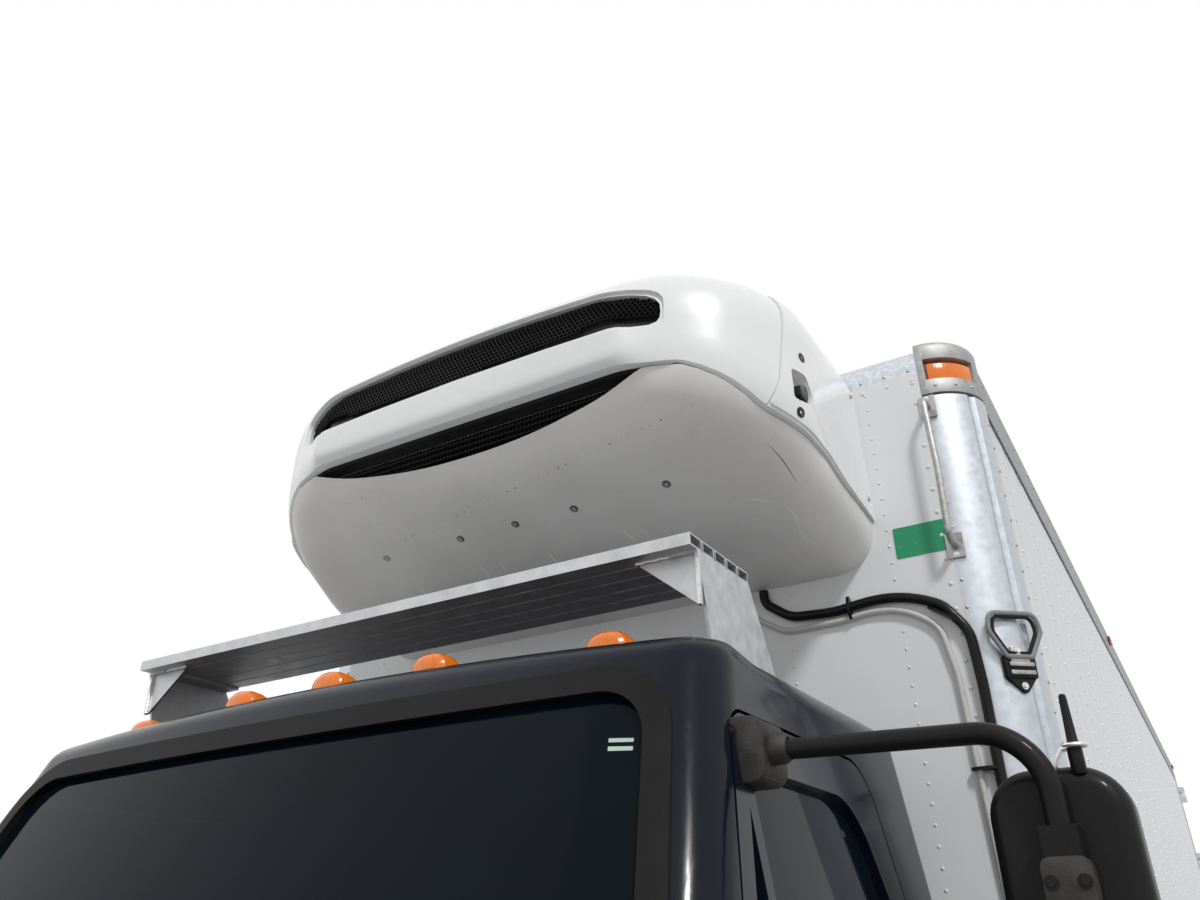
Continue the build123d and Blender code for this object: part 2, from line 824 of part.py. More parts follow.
def door():
    leaf = cab_skin & door_core
    leaf -= side_cutter(pane_rows, 600, 1200) - window_divider()
    for z in door_hinge_rows:
        leaf += Pos(door_axis_x, door_axis_y, z) * Cylinder(door_hinge_radius, hinge_height)
        leaf += block(door_axis_x - 40, door_axis_x, door_axis_y + 4, door_axis_y + 60,
                      z - hinge_height / 2, z + hinge_height / 2)
        leaf -= Pos(door_axis_x, door_axis_y, z) * Cylinder(door_pin_radius + running_fit, 2 * hinge_height)
    handle = rod((cab_belt_half + 28, cab_back_y - 480, 1640), (cab_belt_half + 28, cab_back_y - 330, 1640), 12)
    for y in (cab_back_y - 470, cab_back_y - 340):
        handle += rod((cab_belt_half - 12, y, 1640), (cab_belt_half + 28, y, 1640), 10)
    return leaf + handle


def door_glass():
    layer = cab_solid(glass_inset + 6) - cab_solid(glass_inset + 6 + glass_wall)
    panes = layer & (side_cutter(pane_rows, 600, 1200) - window_divider())
    return panes.solids()


for end, turn in (("left", lambda s: s), ("right", flipped)):
    add_node("door_" + end, turn(door()))
    add_node("door_glass_" + end, *[turn(pane) for pane in door_glass()])

# Mirrors: a bent tube on the door, with a flat head and a convex head clamped to it
arm_radius = 15
arm_y = cab_back_y - 960
arm_top = 2262
arm_out_x = 1328
arm_low = 1500
head_wall_y = arm_y + 22
head_depth = 62


def mirror_set():
    path = FilletPolyline((925, arm_y, arm_top), (arm_out_x, arm_y, arm_top - 12),
                          (arm_out_x, arm_y, arm_low), (985, arm_y, arm_low + 10), radius=[85, 85])
    arm = sweep(Plane(origin=path @ 0, z_dir=path % 0) * Circle(arm_radius), path=path)
    for x, z in ((918, arm_top), (978, arm_low + 10)):
        arm += block(x - 40, x + 34, arm_y - 30, arm_y + 55, z - 42, z + 42)
    big = front_plate([
        (1240, 1735, 40), (1415, 1735, 40), (1415, 2205, 60), (1240, 2205, 60),
    ], head_wall_y, head_wall_y + head_depth)
    small = front_plate([
        (1250, 1535, 50), (1405, 1535, 50), (1405, 1705, 50), (1250, 1705, 50),
    ], head_wall_y, head_wall_y + head_depth)
    for z in (2110, 1820, 1620):
        arm += block(arm_out_x - 22, arm_out_x + 22, arm_y - 22, head_wall_y, z - 20, z + 20)
    heads = fillet(big.faces().sort_by(Axis.Y)[0].edges(), 25)
    heads += fillet(small.faces().sort_by(Axis.Y)[0].edges(), 20)
    return arm + heads - cab_outer


add_node("mirror_left", mirror_set())
add_node("mirror_right", flipped(mirror_set()))

# Cab inside: dashboard, steering wheel on its column, and seats
driver_x = 470
dash_front_y = cab_back_y - cab_nose + 110


def dashboard():
    nose_y = cab_back_y - cab_nose
    panel = side_plate([
        (nose_y, 1250, 0),
        (nose_y, 1680, 30),
        (dash_front_y + 260, 1690, 60),
        (dash_front_y + 360, 1560, 40),
        (dash_front_y + 300, 1250, 30),
    ], -880, 880)
    return panel & cab_solid(cab_wall + seat_gap)


wheel_rim_radius = 225
wheel_centre = (driver_x, dash_front_y + 430, 1690)


def steering_wheel():
    plane = Plane(origin=wheel_centre, x_dir=(1, 0, 0), z_dir=(0, 0.5, 0.87))
    ring = plane * Torus(wheel_rim_radius, 15)
    for angle in (90, 210, 330):
        ring += plane * Rot(Z=angle) * Pos(wheel_rim_radius / 2, 0, 0) * Box(wheel_rim_radius, 36, 14)
    ring += plane * Cylinder(55, 34)
    ring += plane * Pos(0, 0, -160) * Cylinder(32, 310)
    return ring


add_node("dashboard", dashboard() + steering_wheel())
seat_width = 520


def seat(x):
    front = cab_back_y - 820
    base = block(x - 190, x + 190, front + 60, front + 480, cab_floor + cab_wall, 1380)
    cushion = side_plate([
        (front, 1380, 30), (front, 1500, 50), (front + 560, 1480, 0), (front + 560, 1380, 0),
    ], x - seat_width / 2, x + seat_width / 2)
    back = side_plate([
        (front + 470, 1480, 30), (front + 530, 2080, 60), (front + 640, 2080, 40), (front + 600, 1400, 30),
    ], x - seat_width / 2 + 15, x + seat_width / 2 - 15)
    head = side_plate([
        (front + 545, 2070, 0), (front + 555, 2270, 40), (front + 640, 2270, 30), (front + 640, 2070, 0),
    ], x - 140, x + 140)
    return base + cushion + back + head


add_node("seats", seat(driver_x), seat(-driver_x))

# Five amber lamps along the roof's front edge. Columns: x, distance ahead of the cab's back
lamp_rows = [(-647, 885), (-268, 918), (0, 922), (268, 918), (647, 885)]


def roof_lamp(x, ahead):
    y = cab_back_y - ahead
    roof_z = cab_roof_crown - (cab_roof_crown - cab_roof_edge) * (x / 1100) ** 2
    foot = Pos(x, y, roof_z) * Cylinder(55, 12)
    dome = Pos(x, y, roof_z) * Sphere(48)
    dome = dome & block(x - 60, x + 60, y - 60, y + 60, roof_z, roof_z + 42)
    return (foot + dome) - cab_outer


add_node("roof_lamps", *[roof_lamp(x, ahead) for x, ahead in lamp_rows])

# Work deck on the cab's roof: hollow planks on two side plates with corner gussets
deck_half = 796
deck_front = 857
deck_top = 2686
plank_count = 5
plank_pitch = 54
plank_gap = 5
plank_height = 24
plank_wall = 3
plate_wall = 6
plate_foot_rows = [(829, 2662, 0), (590, 2662, 0), (455, 2437, 0), (775, 2437, 0)]
gusset_reach = 130
gusset_drop = 105


def plank(k):
    y0 = cab_back_y - deck_front + k * plank_pitch
    y1 = y0 + plank_pitch - plank_gap
    outer = block(-deck_half, deck_half, y0, y1, deck_top - plank_height, deck_top)
    hole = block(-deck_half - 1, deck_half + 1, y0 + plank_wall, y1 - plank_wall,
                 deck_top - plank_height + plank_wall, deck_top - plank_wall)
    return outer - hole


def deck_plate():
    under = deck_top - plank_height
    plate = side_plate([(cab_back_y - d, z, r) for d, z, r in plate_foot_rows], deck_half - plate_wall, deck_half)
    y = cab_back_y - plate_foot_rows[0][0]
    gusset = front_plate([
        (deck_half - plate_wall - gusset_reach, under, 0),
        (deck_half - plate_wall, under, 0),
        (deck_half - plate_wall, under - gusset_drop, 0),
    ], y + 12, y + 12 + plate_wall)
    ledge = block(deck_half - 60, deck_half, y, cab_back_y - plate_foot_rows[1][0], under - plate_wall, under)
    return plate + gusset + ledge - cab_outer


def roof_deck():
    deck = deck_plate() + flipped(deck_plate())
    for k in range(plank_count):
        deck += plank(k)
    return deck


add_node("roof_deck", roof_deck())

# Hood: a tapered centre between two fenders, hollow underneath, turning on pins above the bumper
hood_front_rows = [
    # half width, z, corner radius
    (470, fender_bottom, 0),
    (520, 1130, 60),
    (400, 1300, 70),
]
hood_rear_rows = [
    (960, fender_bottom, 0),
    (960, 1500, 120),
    (800, 1692, 120),
]


def hood_section(rows, y, inset):
    full = [(h - inset, z - inset, r) for h, z, r in rows]
    full += [(-x, z, r) for x, z, r in reversed(full)]
    return make_face(FilletPolyline(*[(x, y, z) for x, z, _ in full], radius=[r for _, _, r in full], close=True))


def hood_solid(inset=0):
    front = hood_section(hood_front_rows, hood_front_y + inset, inset)
    rear = hood_section(hood_rear_rows, hood_rear_y, inset)
    centre = loft([front, rear], ruled=True)
    fender_rows = [
        (hood_front_y + 30 + inset, fender_bottom - inset, 0),
        (hood_front_y + 50 + inset, 1000 - inset, 150),
        (hood_front_y + 400, 1235 - inset, 300),
        (hood_rear_y - 200, 1290 - inset, 200),
        (hood_rear_y, 1270 - inset, 0),
        (hood_rear_y, fender_bottom - inset, 0),
    ]
    side = fender_half - inset
    fenders = side_plate(fender_rows, -side, side)
    outline = plan_plate([
        (-side, hood_rear_y + 1, 0),
        (-side, hood_front_y + inset, 320),
        (side, hood_front_y + inset, 320),
        (side, hood_rear_y + 1, 0),
    ], 0, 2000)
    return (centre + fenders) & outline


lamp_inner = 600
lamp_outer = 1010
lamp_low = 890
lamp_high = 1075
lamp_length = 330
lamp_pocket = block(lamp_inner, lamp_outer, hood_front_y - 10, hood_front_y + lamp_length, lamp_low, lamp_high)
grille_half = 375
grille_low = 800
grille_high = 1235
hood_outer = hood_solid()
hood_inner = hood_solid(hood_wall)
cab_clearance = cab_solid(-hood_gap)


def hood():
    shell = hood_outer - hood_inner
    shell -= block(-fender_half, fender_half, hood_front_y - 1, hood_rear_y + 2, fender_bottom - 50, fender_bottom)
    wheel = rod((-1200, front_axle_y, tyre_radius), (1200, front_axle_y, tyre_radius), arch_radius)
    shell -= wheel
    shell -= cab_clearance
    shell -= block(-apron_half, apron_half, hood_front_y - 1, hood_front_y + 200, 0, hood_pivot_z + 22)
    shell -= lamp_pocket
    shell -= flipped(lamp_pocket)
    shell -= front_plate([
        (-grille_half, grille_low, 50), (grille_half, grille_low, 50),
        (grille_half, grille_high, 50), (-grille_half, grille_high, 50),
    ], hood_front_y - 60, hood_front_y + 60)
    arm = side_plate([
        (hood_pivot_y - 22, hood_pivot_z - 22, 20),
        (hood_front_y + 4, hood_pivot_z + 20, 0),
        (hood_front_y + 4, grille_low - 12, 0),
        (hood_pivot_y + 22, grille_low - 12, 20),
        (hood_pivot_y + 22, hood_pivot_z - 22, 20),
    ], hinge_arm_x, hinge_arm_x + hinge_arm_wall)
    arm -= rod((0, hood_pivot_y, hood_pivot_z), (600, hood_pivot_y, hood_pivot_z), hood_pin_radius + running_fit)
    return shell + arm + flipped(arm)


add_node("hood", hood())


def headlamp():
    layer = hood_outer - hood_solid(60)
    return layer & block(lamp_inner + seat_gap, lamp_outer - seat_gap, hood_front_y - 9, hood_front_y + lamp_length,
                         lamp_low + seat_gap, lamp_high - seat_gap)


add_node("headlamps", *pair(headlamp()))
grille_bars = 9
grille_frame = 22


def grille():
    y0 = hood_front_y + 2
    y1 = hood_front_y + 42
    frame = front_plate([
        (-grille_half + seat_gap, grille_low + seat_gap, 50), (grille_half - seat_gap, grille_low + seat_gap, 50),
        (grille_half - seat_gap, grille_high - seat_gap, 50), (-grille_half + seat_gap, grille_high - seat_gap, 50),
    ], y0, y1)
    frame -= front_plate([
        (-grille_half + grille_frame, grille_low + grille_frame, 30),
        (grille_half - grille_frame, grille_low + grille_frame, 30),
        (grille_half - grille_frame, grille_high - grille_frame, 30),
        (-grille_half + grille_frame, grille_high - grille_frame, 30),
    ], y0 - 1, y1 + 1)
    pitch = (grille_high - grille_low) / (grille_bars + 1)
    for k in range(grille_bars):
        z = grille_low + (k + 1) * pitch
        frame += block(-grille_half + 8, grille_half - 8, y0 + 6, y1 - 6, z - 9, z + 9)
    return frame


add_node("grille", grille())

# Insulated body: sills on the rails, bearers, floor, walls, roof, posts, caps and rolled rails
sill_height = 80
bearer_pitch = 407
bearer_count = 20
bearer_width = 50
bearer_height = 100
bearer_wall = 6


def body_sill():
    x = rail_half - rail_flange / 2
    return block(x - 38, x + 38, wall_y + 20, rail_rear_y, rail_top, rail_top + sill_height)


def bearer(k):
    y = wall_y + front_wall_thick + 60 + k * bearer_pitch
    z0 = rail_top + sill_height
    half = body_half - 12
    outer = block(-half, half, y, y + bearer_width, z0, z0 + bearer_height)
    inside = block(-half - 1, half + 1, y + bearer_wall, y + bearer_width + 1,
                   z0 + bearer_wall, z0 + bearer_height - bearer_wall)
    return outer - inside


floor_low = rail_top + sill_height + bearer_height
frame_front_y = body_rear_y - rear_frame_depth
inner_half = body_half - wall_thick
panel_top = body_top - side_rail_drop
add_node("body_floor", block(-inner_half, inner_half, wall_y + front_wall_thick, frame_front_y,
                             floor_low, body_floor))
add_node("front_wall", block(-body_half + post_radius, body_half - post_radius, wall_y, wall_y + front_wall_thick,
                             floor_low, body_top - front_rail_drop))
add_node("side_walls", *pair(block(inner_half, body_half - 6, wall_y + post_radius, frame_front_y,
                                   body_floor, panel_top)))


base_rail = block(inner_half, body_half, wall_y + post_radius, frame_front_y, floor_low, body_floor)
add_node("floor_frame", *pair(body_sill()), *pair(base_rail))
add_node("bearers", *[bearer(k) for k in range(bearer_count)])
roof_low = body_top - wall_thick


def corner_section(z0, z1):
    edge = body_half - post_radius
    back = wall_y + post_radius
    face = make_face([
        ThreePointArc((edge, wall_y, z0),
                      (edge + post_radius * 0.70710678, back - post_radius * 0.70710678, z0),
                      (body_half, back, z0)),
        Line((body_half, back, z0), (inner_half, back, z0)),
        Line((inner_half, back, z0), (inner_half, wall_y + front_wall_thick, z0)),
        Line((inner_half, wall_y + front_wall_thick, z0), (edge, wall_y + front_wall_thick, z0)),
        Line((edge, wall_y + front_wall_thick, z0), (edge, wall_y, z0)),
    ])
    return extrude(face, amount=z1 - z0, dir=(0, 0, 1))


add_node("corner_posts", *pair(corner_section(floor_low, body_top - cap_drop)))


def corner_cap():
    cap = corner_section(body_top - cap_drop, body_top)
    rim_edges = [e for e in cap.faces().sort_by(Axis.Z)[-1].edges() if e.geom_type == GeomType.CIRCLE]
    cap = fillet(rim_edges, 85)
    return cap


add_node("corner_caps", *pair(corner_cap()))


def front_top_rail():
    y = wall_y
    rail = side_plate([
        (y, body_top - front_rail_drop, 0),
        (y, body_top, 85),
        (y + post_radius, body_top, 0),
        (y + post_radius, roof_low, 0),
        (y + front_wall_thick, roof_low, 0),
        (y + front_wall_thick, body_top - front_rail_drop, 0),
    ], -body_half + post_radius, body_half - post_radius)
    return rail


def side_top_rail():
    return front_plate([
        (inner_half, panel_top, 0),
        (body_half, panel_top, 0),
        (body_half, body_top, 85),
        (body_half - post_radius, body_top, 0),
        (body_half - post_radius, roof_low, 0),
        (inner_half, roof_low, 0),
    ], wall_y + post_radius, frame_front_y)


add_node("top_rails", front_top_rail(), *pair(side_top_rail()))
add_node("body_roof", block(-body_half + post_radius, body_half - post_radius, wall_y + post_radius, frame_front_y,
                            roof_low, body_top - 4))

# Rear frame and the two rear doors on pins that stand outside the body's corners
hinge_x = body_half + hinge_offset
hinge_y = body_rear_y + hinge_offset
hinge_rows = [1480, 2050, 2650, 3230]
knuckle_height = 44
hinge_pin = 8


def rear_frame():
    frame = front_plate([
        (-body_half, floor_low, 0), (body_half, floor_low, 0),
        (body_half, body_top, 85), (-body_half, body_top, 85),
    ], frame_front_y, body_rear_y)
    frame -= block(-rear_opening_half, rear_opening_half, frame_front_y - 1, body_rear_y + 1,
                   body_floor, rear_opening_top)
    for side in (-1, 1):
        for z in hinge_rows:
            lugs = Pos(side * hinge_x, hinge_y, z) * Cylinder(hinge_pin, 3 * knuckle_height + 4)
            for end in (-1, 1):
                z_mid = z + end * (knuckle_height + 1)
                low = z_mid - knuckle_height / 2
                lugs += Pos(side * hinge_x, hinge_y, z_mid) * Cylinder(hinge_knuckle, knuckle_height)
                web = plan_plate([
                    (side * (hinge_x - 4), hinge_y + 8, 0),
                    (side * (hinge_x + 8), hinge_y - 4, 0),
                    (side * body_half, body_rear_y - 40, 0),
                    (side * (body_half - 40), body_rear_y, 0),
                ], low, low + knuckle_height)
                lugs += web
            frame += lugs
    return frame


add_node("rear_frame", rear_frame())
leaf_gap = 5
strap_thick = 10
strap_reach = 170
lock_rod_radius = 14
lock_rod_rows = [330, 760]
rod_stand = 26


def rear_door():
    x0 = leaf_gap / 2
    x1 = rear_opening_half - door_clear
    z0 = body_floor + door_clear
    z1 = rear_opening_top - door_clear
    leaf = block(x0, x1, frame_front_y, body_rear_y, z0, z1)
    for z in hinge_rows:
        low = z - knuckle_height / 2
        strap = block(x1 - strap_reach, hinge_x, body_rear_y + 1, body_rear_y + 1 + strap_thick,
                      low, low + knuckle_height)
        strap += block(x1 - strap_reach, x1, body_rear_y - 1, body_rear_y + 2, low, low + knuckle_height)
        strap += Pos(hinge_x, hinge_y, z) * Cylinder(hinge_knuckle, knuckle_height)
        strap += block(hinge_x - hinge_knuckle, hinge_x, body_rear_y + 1, hinge_y, low, low + knuckle_height)
        strap -= Pos(hinge_x, hinge_y, z) * Cylinder(hinge_pin + running_fit, knuckle_height + 2)
        leaf += strap
    for x in lock_rod_rows:
        y = body_rear_y + rod_stand
        leaf += rod((x, y, z0 + 10), (x, y, z1 - 10), lock_rod_radius)
        for z in (z0 + 60, z0 + 520, z0 + 1040, z0 + 1560, z1 - 60):
            leaf += block(x - 34, x + 34, body_rear_y - 1, body_rear_y + 12, z - 20, z + 20)
            leaf += block(x - 18, x + 18, body_rear_y - 1, y, z - 20, z + 20)
    return leaf


add_node("rear_door_left", rear_door())
add_node("rear_door_right", flipped(rear_door()))

# Underride guard, tail lamps and mud flaps
guard_low = 450
guard_height = 110


def underride_guard():
    y = body_rear_y - 160
    bar = block(-1130, 1130, y, y + 90, guard_low, guard_low + guard_height)
    bar = fillet(bar.edges().filter_by(Axis.X), 15)
    for side in (-1, 1):
        x = side * (rail_half + 12)
        bar += block(x - 12, x + 12, y + 5, y + 85, guard_low + 10, rail_top - 60)
    return bar


add_node("underride_guard", underride_guard())


def mud_flap():
    y = rear_axle_y + 830
    flap = block(640, 1190, y, y + 10, 230, 860)
    flap += block(rail_half, 1190, y - 25, y, 845, 885)
    return flap


add_node("mud_flaps", *pair(mud_flap()))
tail_lamp_rows = [(1169, 1750, 48), (1169, 1880, 48)]


def tail_lamp(x, z, radius):
    return rod((x, body_rear_y, z), (x, body_rear_y + 16, z), radius)


add_node("tail_lamps", *[solid for row in tail_lamp_rows for solid in pair(tail_lamp(*row))])

# Cooling unit on the front wall: domed hood above, belly below, with a dark joint between


def unit_solid():
    y0 = wall_y - unit_depth
    corner = [
        (-unit_half, wall_y, 0), (-unit_half, y0, unit_corner),
        (unit_half, y0, unit_corner), (unit_half, wall_y, 0),
    ]
    body = plan_plate(corner, unit_base, unit_top)
    profile = side_plate([
        (wall_y, unit_base, 0),
        (wall_y - 60, unit_base, 60),
        (wall_y - 470, 3086, 300),
        (y0 + 40, 3190, 90),
        (y0, unit_seam_front + 60, 120),
        (y0 + 10, 3460, 200),
        (y0 + 110, unit_top - 10, 140),
        (wall_y, unit_top, 0),
    ], -1000, 1000)
    return body & profile


unit_whole = unit_solid()
unit_joint = 6
seam_rows = [
    (wall_y + 10, unit_seam_wall - 8, 0),
    (wall_y - 640, 3105, 160),
    (wall_y - unit_depth - 10, unit_seam_front + 20, 0),
]


def above_seam(shift):
    """Everything above the joint line, raised by shift."""
    rows = [(y, z + shift, r) for y, z, r in seam_rows]
    rows += [(wall_y - unit_depth - 10, 4000, 0), (wall_y + 10, 4000, 0)]
    return side_plate(rows, -1200, 1200)


grille_top_rows = [(-618, 3425, 50), (618, 3425, 50), (600, 3540, 60), (-600, 3540, 60)]
grille_depth = 70


def unit_pockets():
    y0 = wall_y - unit_depth
    upper = front_plate(grille_top_rows, y0 - 20, y0 + grille_depth)
    lower = front_plate([
        (-545, unit_seam_front + 14, 0), (545, unit_seam_front + 14, 0), (430, 3215, 120), (-430, 3215, 120),
    ], y0 - 20, y0 + grille_depth)
    return upper, lower


upper_pocket, lower_pocket = unit_pockets()
unit_hood = (unit_whole & above_seam(unit_joint / 2)) - upper_pocket - lower_pocket
unit_belly = (unit_whole - above_seam(-unit_joint / 2)) - lower_pocket
add_node("unit_hood", unit_hood)
add_node("unit_belly", unit_belly)


def unit_grilles():
    y1 = wall_y - unit_depth + grille_depth
    meshes = []
    for pocket in (upper_pocket, lower_pocket):
        core = pocket & block(-700, 700, y1 - 12, y1, 3000, 3700)
        meshes.append(core)
    return meshes


add_node("unit_grilles", *unit_grilles())

# Evaporator housing inside the load space, behind the cooling unit
evap_half = 720
evap_depth = 560
evap_drop = 480


def evaporator():
    y0 = wall_y + front_wall_thick
    return side_plate([
        (y0, roof_low - evap_drop, 0), (y0, roof_low, 0), (y0 + evap_depth, roof_low, 0),
        (y0 + evap_depth, roof_low - 180, 60), (y0 + 220, roof_low - evap_drop, 60),
    ], -evap_half, evap_half)


add_node("evaporator", evaporator())

# Grab handle on the front wall and the latch loop on the left corner post
handle_x = 1086
handle_low = 2930
handle_high = 3350
handle_stand = 62
handle_radius = 9


def grab_handle():
    y = wall_y - handle_stand
    path = FilletPolyline((handle_x, wall_y - 4, handle_low), (handle_x, y, handle_low),
                          (handle_x + 6, y - 8, (handle_low + handle_high) / 2),
                          (handle_x, y, handle_high), (handle_x, wall_y - 4, handle_high), radius=[30, 400, 30])
    bar = sweep(Plane(origin=path @ 0, z_dir=path % 0) * Circle(handle_radius), path=path)
    for z in (handle_low, handle_high):
        foot = block(handle_x - 22, handle_x + 22, wall_y - 6, wall_y, z - 34, z + 34)
        bar += foot
    return bar


# Hoses from the cooling unit, clipped to the front wall and down the left corner. Columns: x, z, arc radius
hose_radius = 13
hose_rows = [
    (548, 2904.7, 0), (548, 2868, 40), (622, 2815, 90), (740, 2808, 300), (860, 2822, 400), (952, 2815, 300),
    (1030, 2775, 90), (1082, 2700, 110), (1089, 2560, 600), (1087, 2000, 1500), (1087, 1230, 0),
]
pipe_radius = 8
pipe_rows = [
    (500, 2904.7, 0), (500, 2840, 60), (600, 2778, 90), (760, 2782, 300), (850, 2794, 300), (940, 2780, 200),
    (1012, 2722, 80), (1034, 2600, 300), (1040, 2400, 900), (1052, 2050, 1500), (1052, 1230, 0),
]
clip_half = 9
clip_wall = 3
clip_clear = 0.8
clip_foot = 12
clip_rows = [(1088.07, 2300, 13), (1087, 1900, 13), (1087, 1500, 13), (1052, 1900, 8), (1052, 1500, 8)]


def wall_tube(rows, radius):
    """A round hose lying against the front wall."""
    y = wall_y - radius - seat_gap
    path = FilletPolyline(*[(x, y, z) for x, z, _ in rows], radius=[r for _, _, r in rows[1:-1]])
    body = sweep(Plane(origin=path @ 0, z_dir=path % 0) * Circle(radius), path=path)
    ratio = body.volume / (path.length * pi * radius ** 2)
    print("hose", round(path.length), "long, volume ratio", round(ratio, 4))
    return body


add_node("wall_hoses", wall_tube(hose_rows, hose_radius), wall_tube(pipe_rows, pipe_radius))

# Latch loop on the left corner post: base plate, bow and over-centre catch
loop_angle = 41
loop_z = 2640
loop_half = 60
loop_plate = 6


def latch_loop():
    edge = body_half - post_radius
    angle = radians(loop_angle)
    origin = (edge + post_radius * sin(angle), wall_y + post_radius - post_radius * cos(angle), loop_z)
    plane = Plane(origin=origin, x_dir=(cos(angle), sin(angle), 0), z_dir=(sin(angle), -cos(angle), 0))
    outline = make_face(FilletPolyline((-45, 16, 0), (45, 16, 0), (12, -105, 0), (-12, -105, 0),
                                       radius=[8, 8, 10, 10], close=True))
    axis = Pos(edge, wall_y + post_radius, loop_z)
    band = axis * Cylinder(post_radius + seat_gap + loop_plate, 400) - axis * Cylinder(post_radius + seat_gap, 400)
    base = (plane * Pos(0, 0, -40) * extrude(outline, amount=60)) & band
    catch = plane * Pos(0, -20, 15) * Box(60, 66, 24)
    bow = plane * Pos(0, 45, 30) * (
        extrude(RectangleRounded(2 * loop_half, 120, 45), amount=22)
        - extrude(RectangleRounded(2 * loop_half - 44, 76, 28), amount=22))
    bow += plane * Pos(0, -12, 26) * Box(40, 30, 30)
    return base + catch + bow


def clip(x, z, radius):
    """A P clip: an open band round the hose with its foot on the wall."""
    y = wall_y - radius - seat_gap
    band = rod((x, y, z - clip_half), (x, y, z + clip_half), radius + clip_wall)
    band -= rod((x, y, z - 10), (x, y, z + 10), radius + clip_clear)
    band &= block(x - 60, x + 60, wall_y - 80, wall_y - clip_wall, z - 20, z + 20)
    reach = sqrt((radius + clip_wall / 2) ** 2 - (radius - 1.4 * clip_wall) ** 2)
    foot = block(x - radius - clip_foot, x - reach, wall_y - 2 * clip_wall, wall_y, z - clip_half, z + clip_half)
    return band + foot


add_node("wall_fittings", grab_handle(), latch_loop(), *[clip(*row) for row in clip_rows])

# Silencer and tail pipe on the right, behind the battery box
silencer_radius = 135
silencer_x = -640
silencer_z = 720
silencer_front_y = wall_y + 60
silencer_rear_y = wall_y + 960


def exhaust():
    body = rod((silencer_x, silencer_front_y, silencer_z), (silencer_x, silencer_rear_y, silencer_z),
               silencer_radius)
    body = fillet(body.edges(), 25)
    path = FilletPolyline((silencer_x, silencer_rear_y - 5, silencer_z),
                          (silencer_x, silencer_rear_y + 260, silencer_z),
                          (-1150, silencer_rear_y + 420, silencer_z - 60), radius=150)
    pipe = sweep(Plane(origin=path @ 0, z_dir=path % 0) * Circle(50), path=path)
    body += pipe
    for y in (silencer_front_y + 150, silencer_rear_y - 200):
        body += block(silencer_x - 40, -rail_half, y, y + 50, silencer_z + 60, silencer_z + 150)
    return body


add_node("exhaust", exhaust())

os.makedirs("parts", exist_ok=True)
for name, solids in nodes.items():
    export_step(Compound(children=[part for shape in solids for part in shape.solids()]), "parts/" + name + ".step")
print(len(nodes), "nodes,", sum(len(s.solids()) for group in nodes.values() for s in group), "solids")
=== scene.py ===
# %% [markdown]
# # A refrigerated truck, dressed for the light
# The solids of the truck come from its CAD model and stay where they are. This lesson gives every surface
# its real finish and adds the small things that CAD leaves out: rivets, treads, wheel nuts, perforated
# grilles, gaskets and cushions. All sizes are in metres: the front is -Y, the driver's side is +X, the
# ground is z = 0.

# %% Load the truck
import json
import math

import bmesh
import bpy
from mathutils import Matrix, Vector
from mathutils.bvhtree import BVHTree


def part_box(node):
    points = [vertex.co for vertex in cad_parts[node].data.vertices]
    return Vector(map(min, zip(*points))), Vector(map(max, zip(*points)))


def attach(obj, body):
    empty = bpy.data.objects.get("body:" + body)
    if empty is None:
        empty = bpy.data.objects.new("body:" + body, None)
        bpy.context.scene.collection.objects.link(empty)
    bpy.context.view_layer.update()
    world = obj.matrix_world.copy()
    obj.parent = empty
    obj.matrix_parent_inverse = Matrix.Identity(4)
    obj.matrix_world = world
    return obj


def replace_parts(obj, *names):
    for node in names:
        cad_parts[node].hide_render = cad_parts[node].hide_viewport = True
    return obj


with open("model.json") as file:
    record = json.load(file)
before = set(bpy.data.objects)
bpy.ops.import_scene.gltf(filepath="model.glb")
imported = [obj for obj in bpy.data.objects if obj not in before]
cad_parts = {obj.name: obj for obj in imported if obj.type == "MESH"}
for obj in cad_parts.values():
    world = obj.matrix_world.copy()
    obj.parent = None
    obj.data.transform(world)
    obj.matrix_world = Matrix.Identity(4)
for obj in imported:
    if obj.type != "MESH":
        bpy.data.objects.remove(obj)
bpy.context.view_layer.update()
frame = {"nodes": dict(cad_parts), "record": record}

nodes = frame["nodes"]

# %% [markdown]
# ## Shader maths as plain expressions
# A finish is a small sum: colour plus a little dirt, roughness plus a little wear. `Wire` wraps one
# socket, so that `dirt * 0.3 + 0.2` adds the Math nodes by itself. `Finish` holds one material and its
# main shader. Colours go through Mix nodes, because a Math node would turn them grey.

# %% The two small classes
class Wire:
    """An output socket that understands wire + b, wire * b and b - wire."""

    def __init__(self, finish, socket):
        self.finish = finish
        self.socket = socket

    def __add__(self, other):
        return self.finish.math("ADD", self, other)

    def __mul__(self, other):
        return self.finish.math("MULTIPLY", self, other)

    def __rsub__(self, other):
        return self.finish.math("SUBTRACT", other, self)


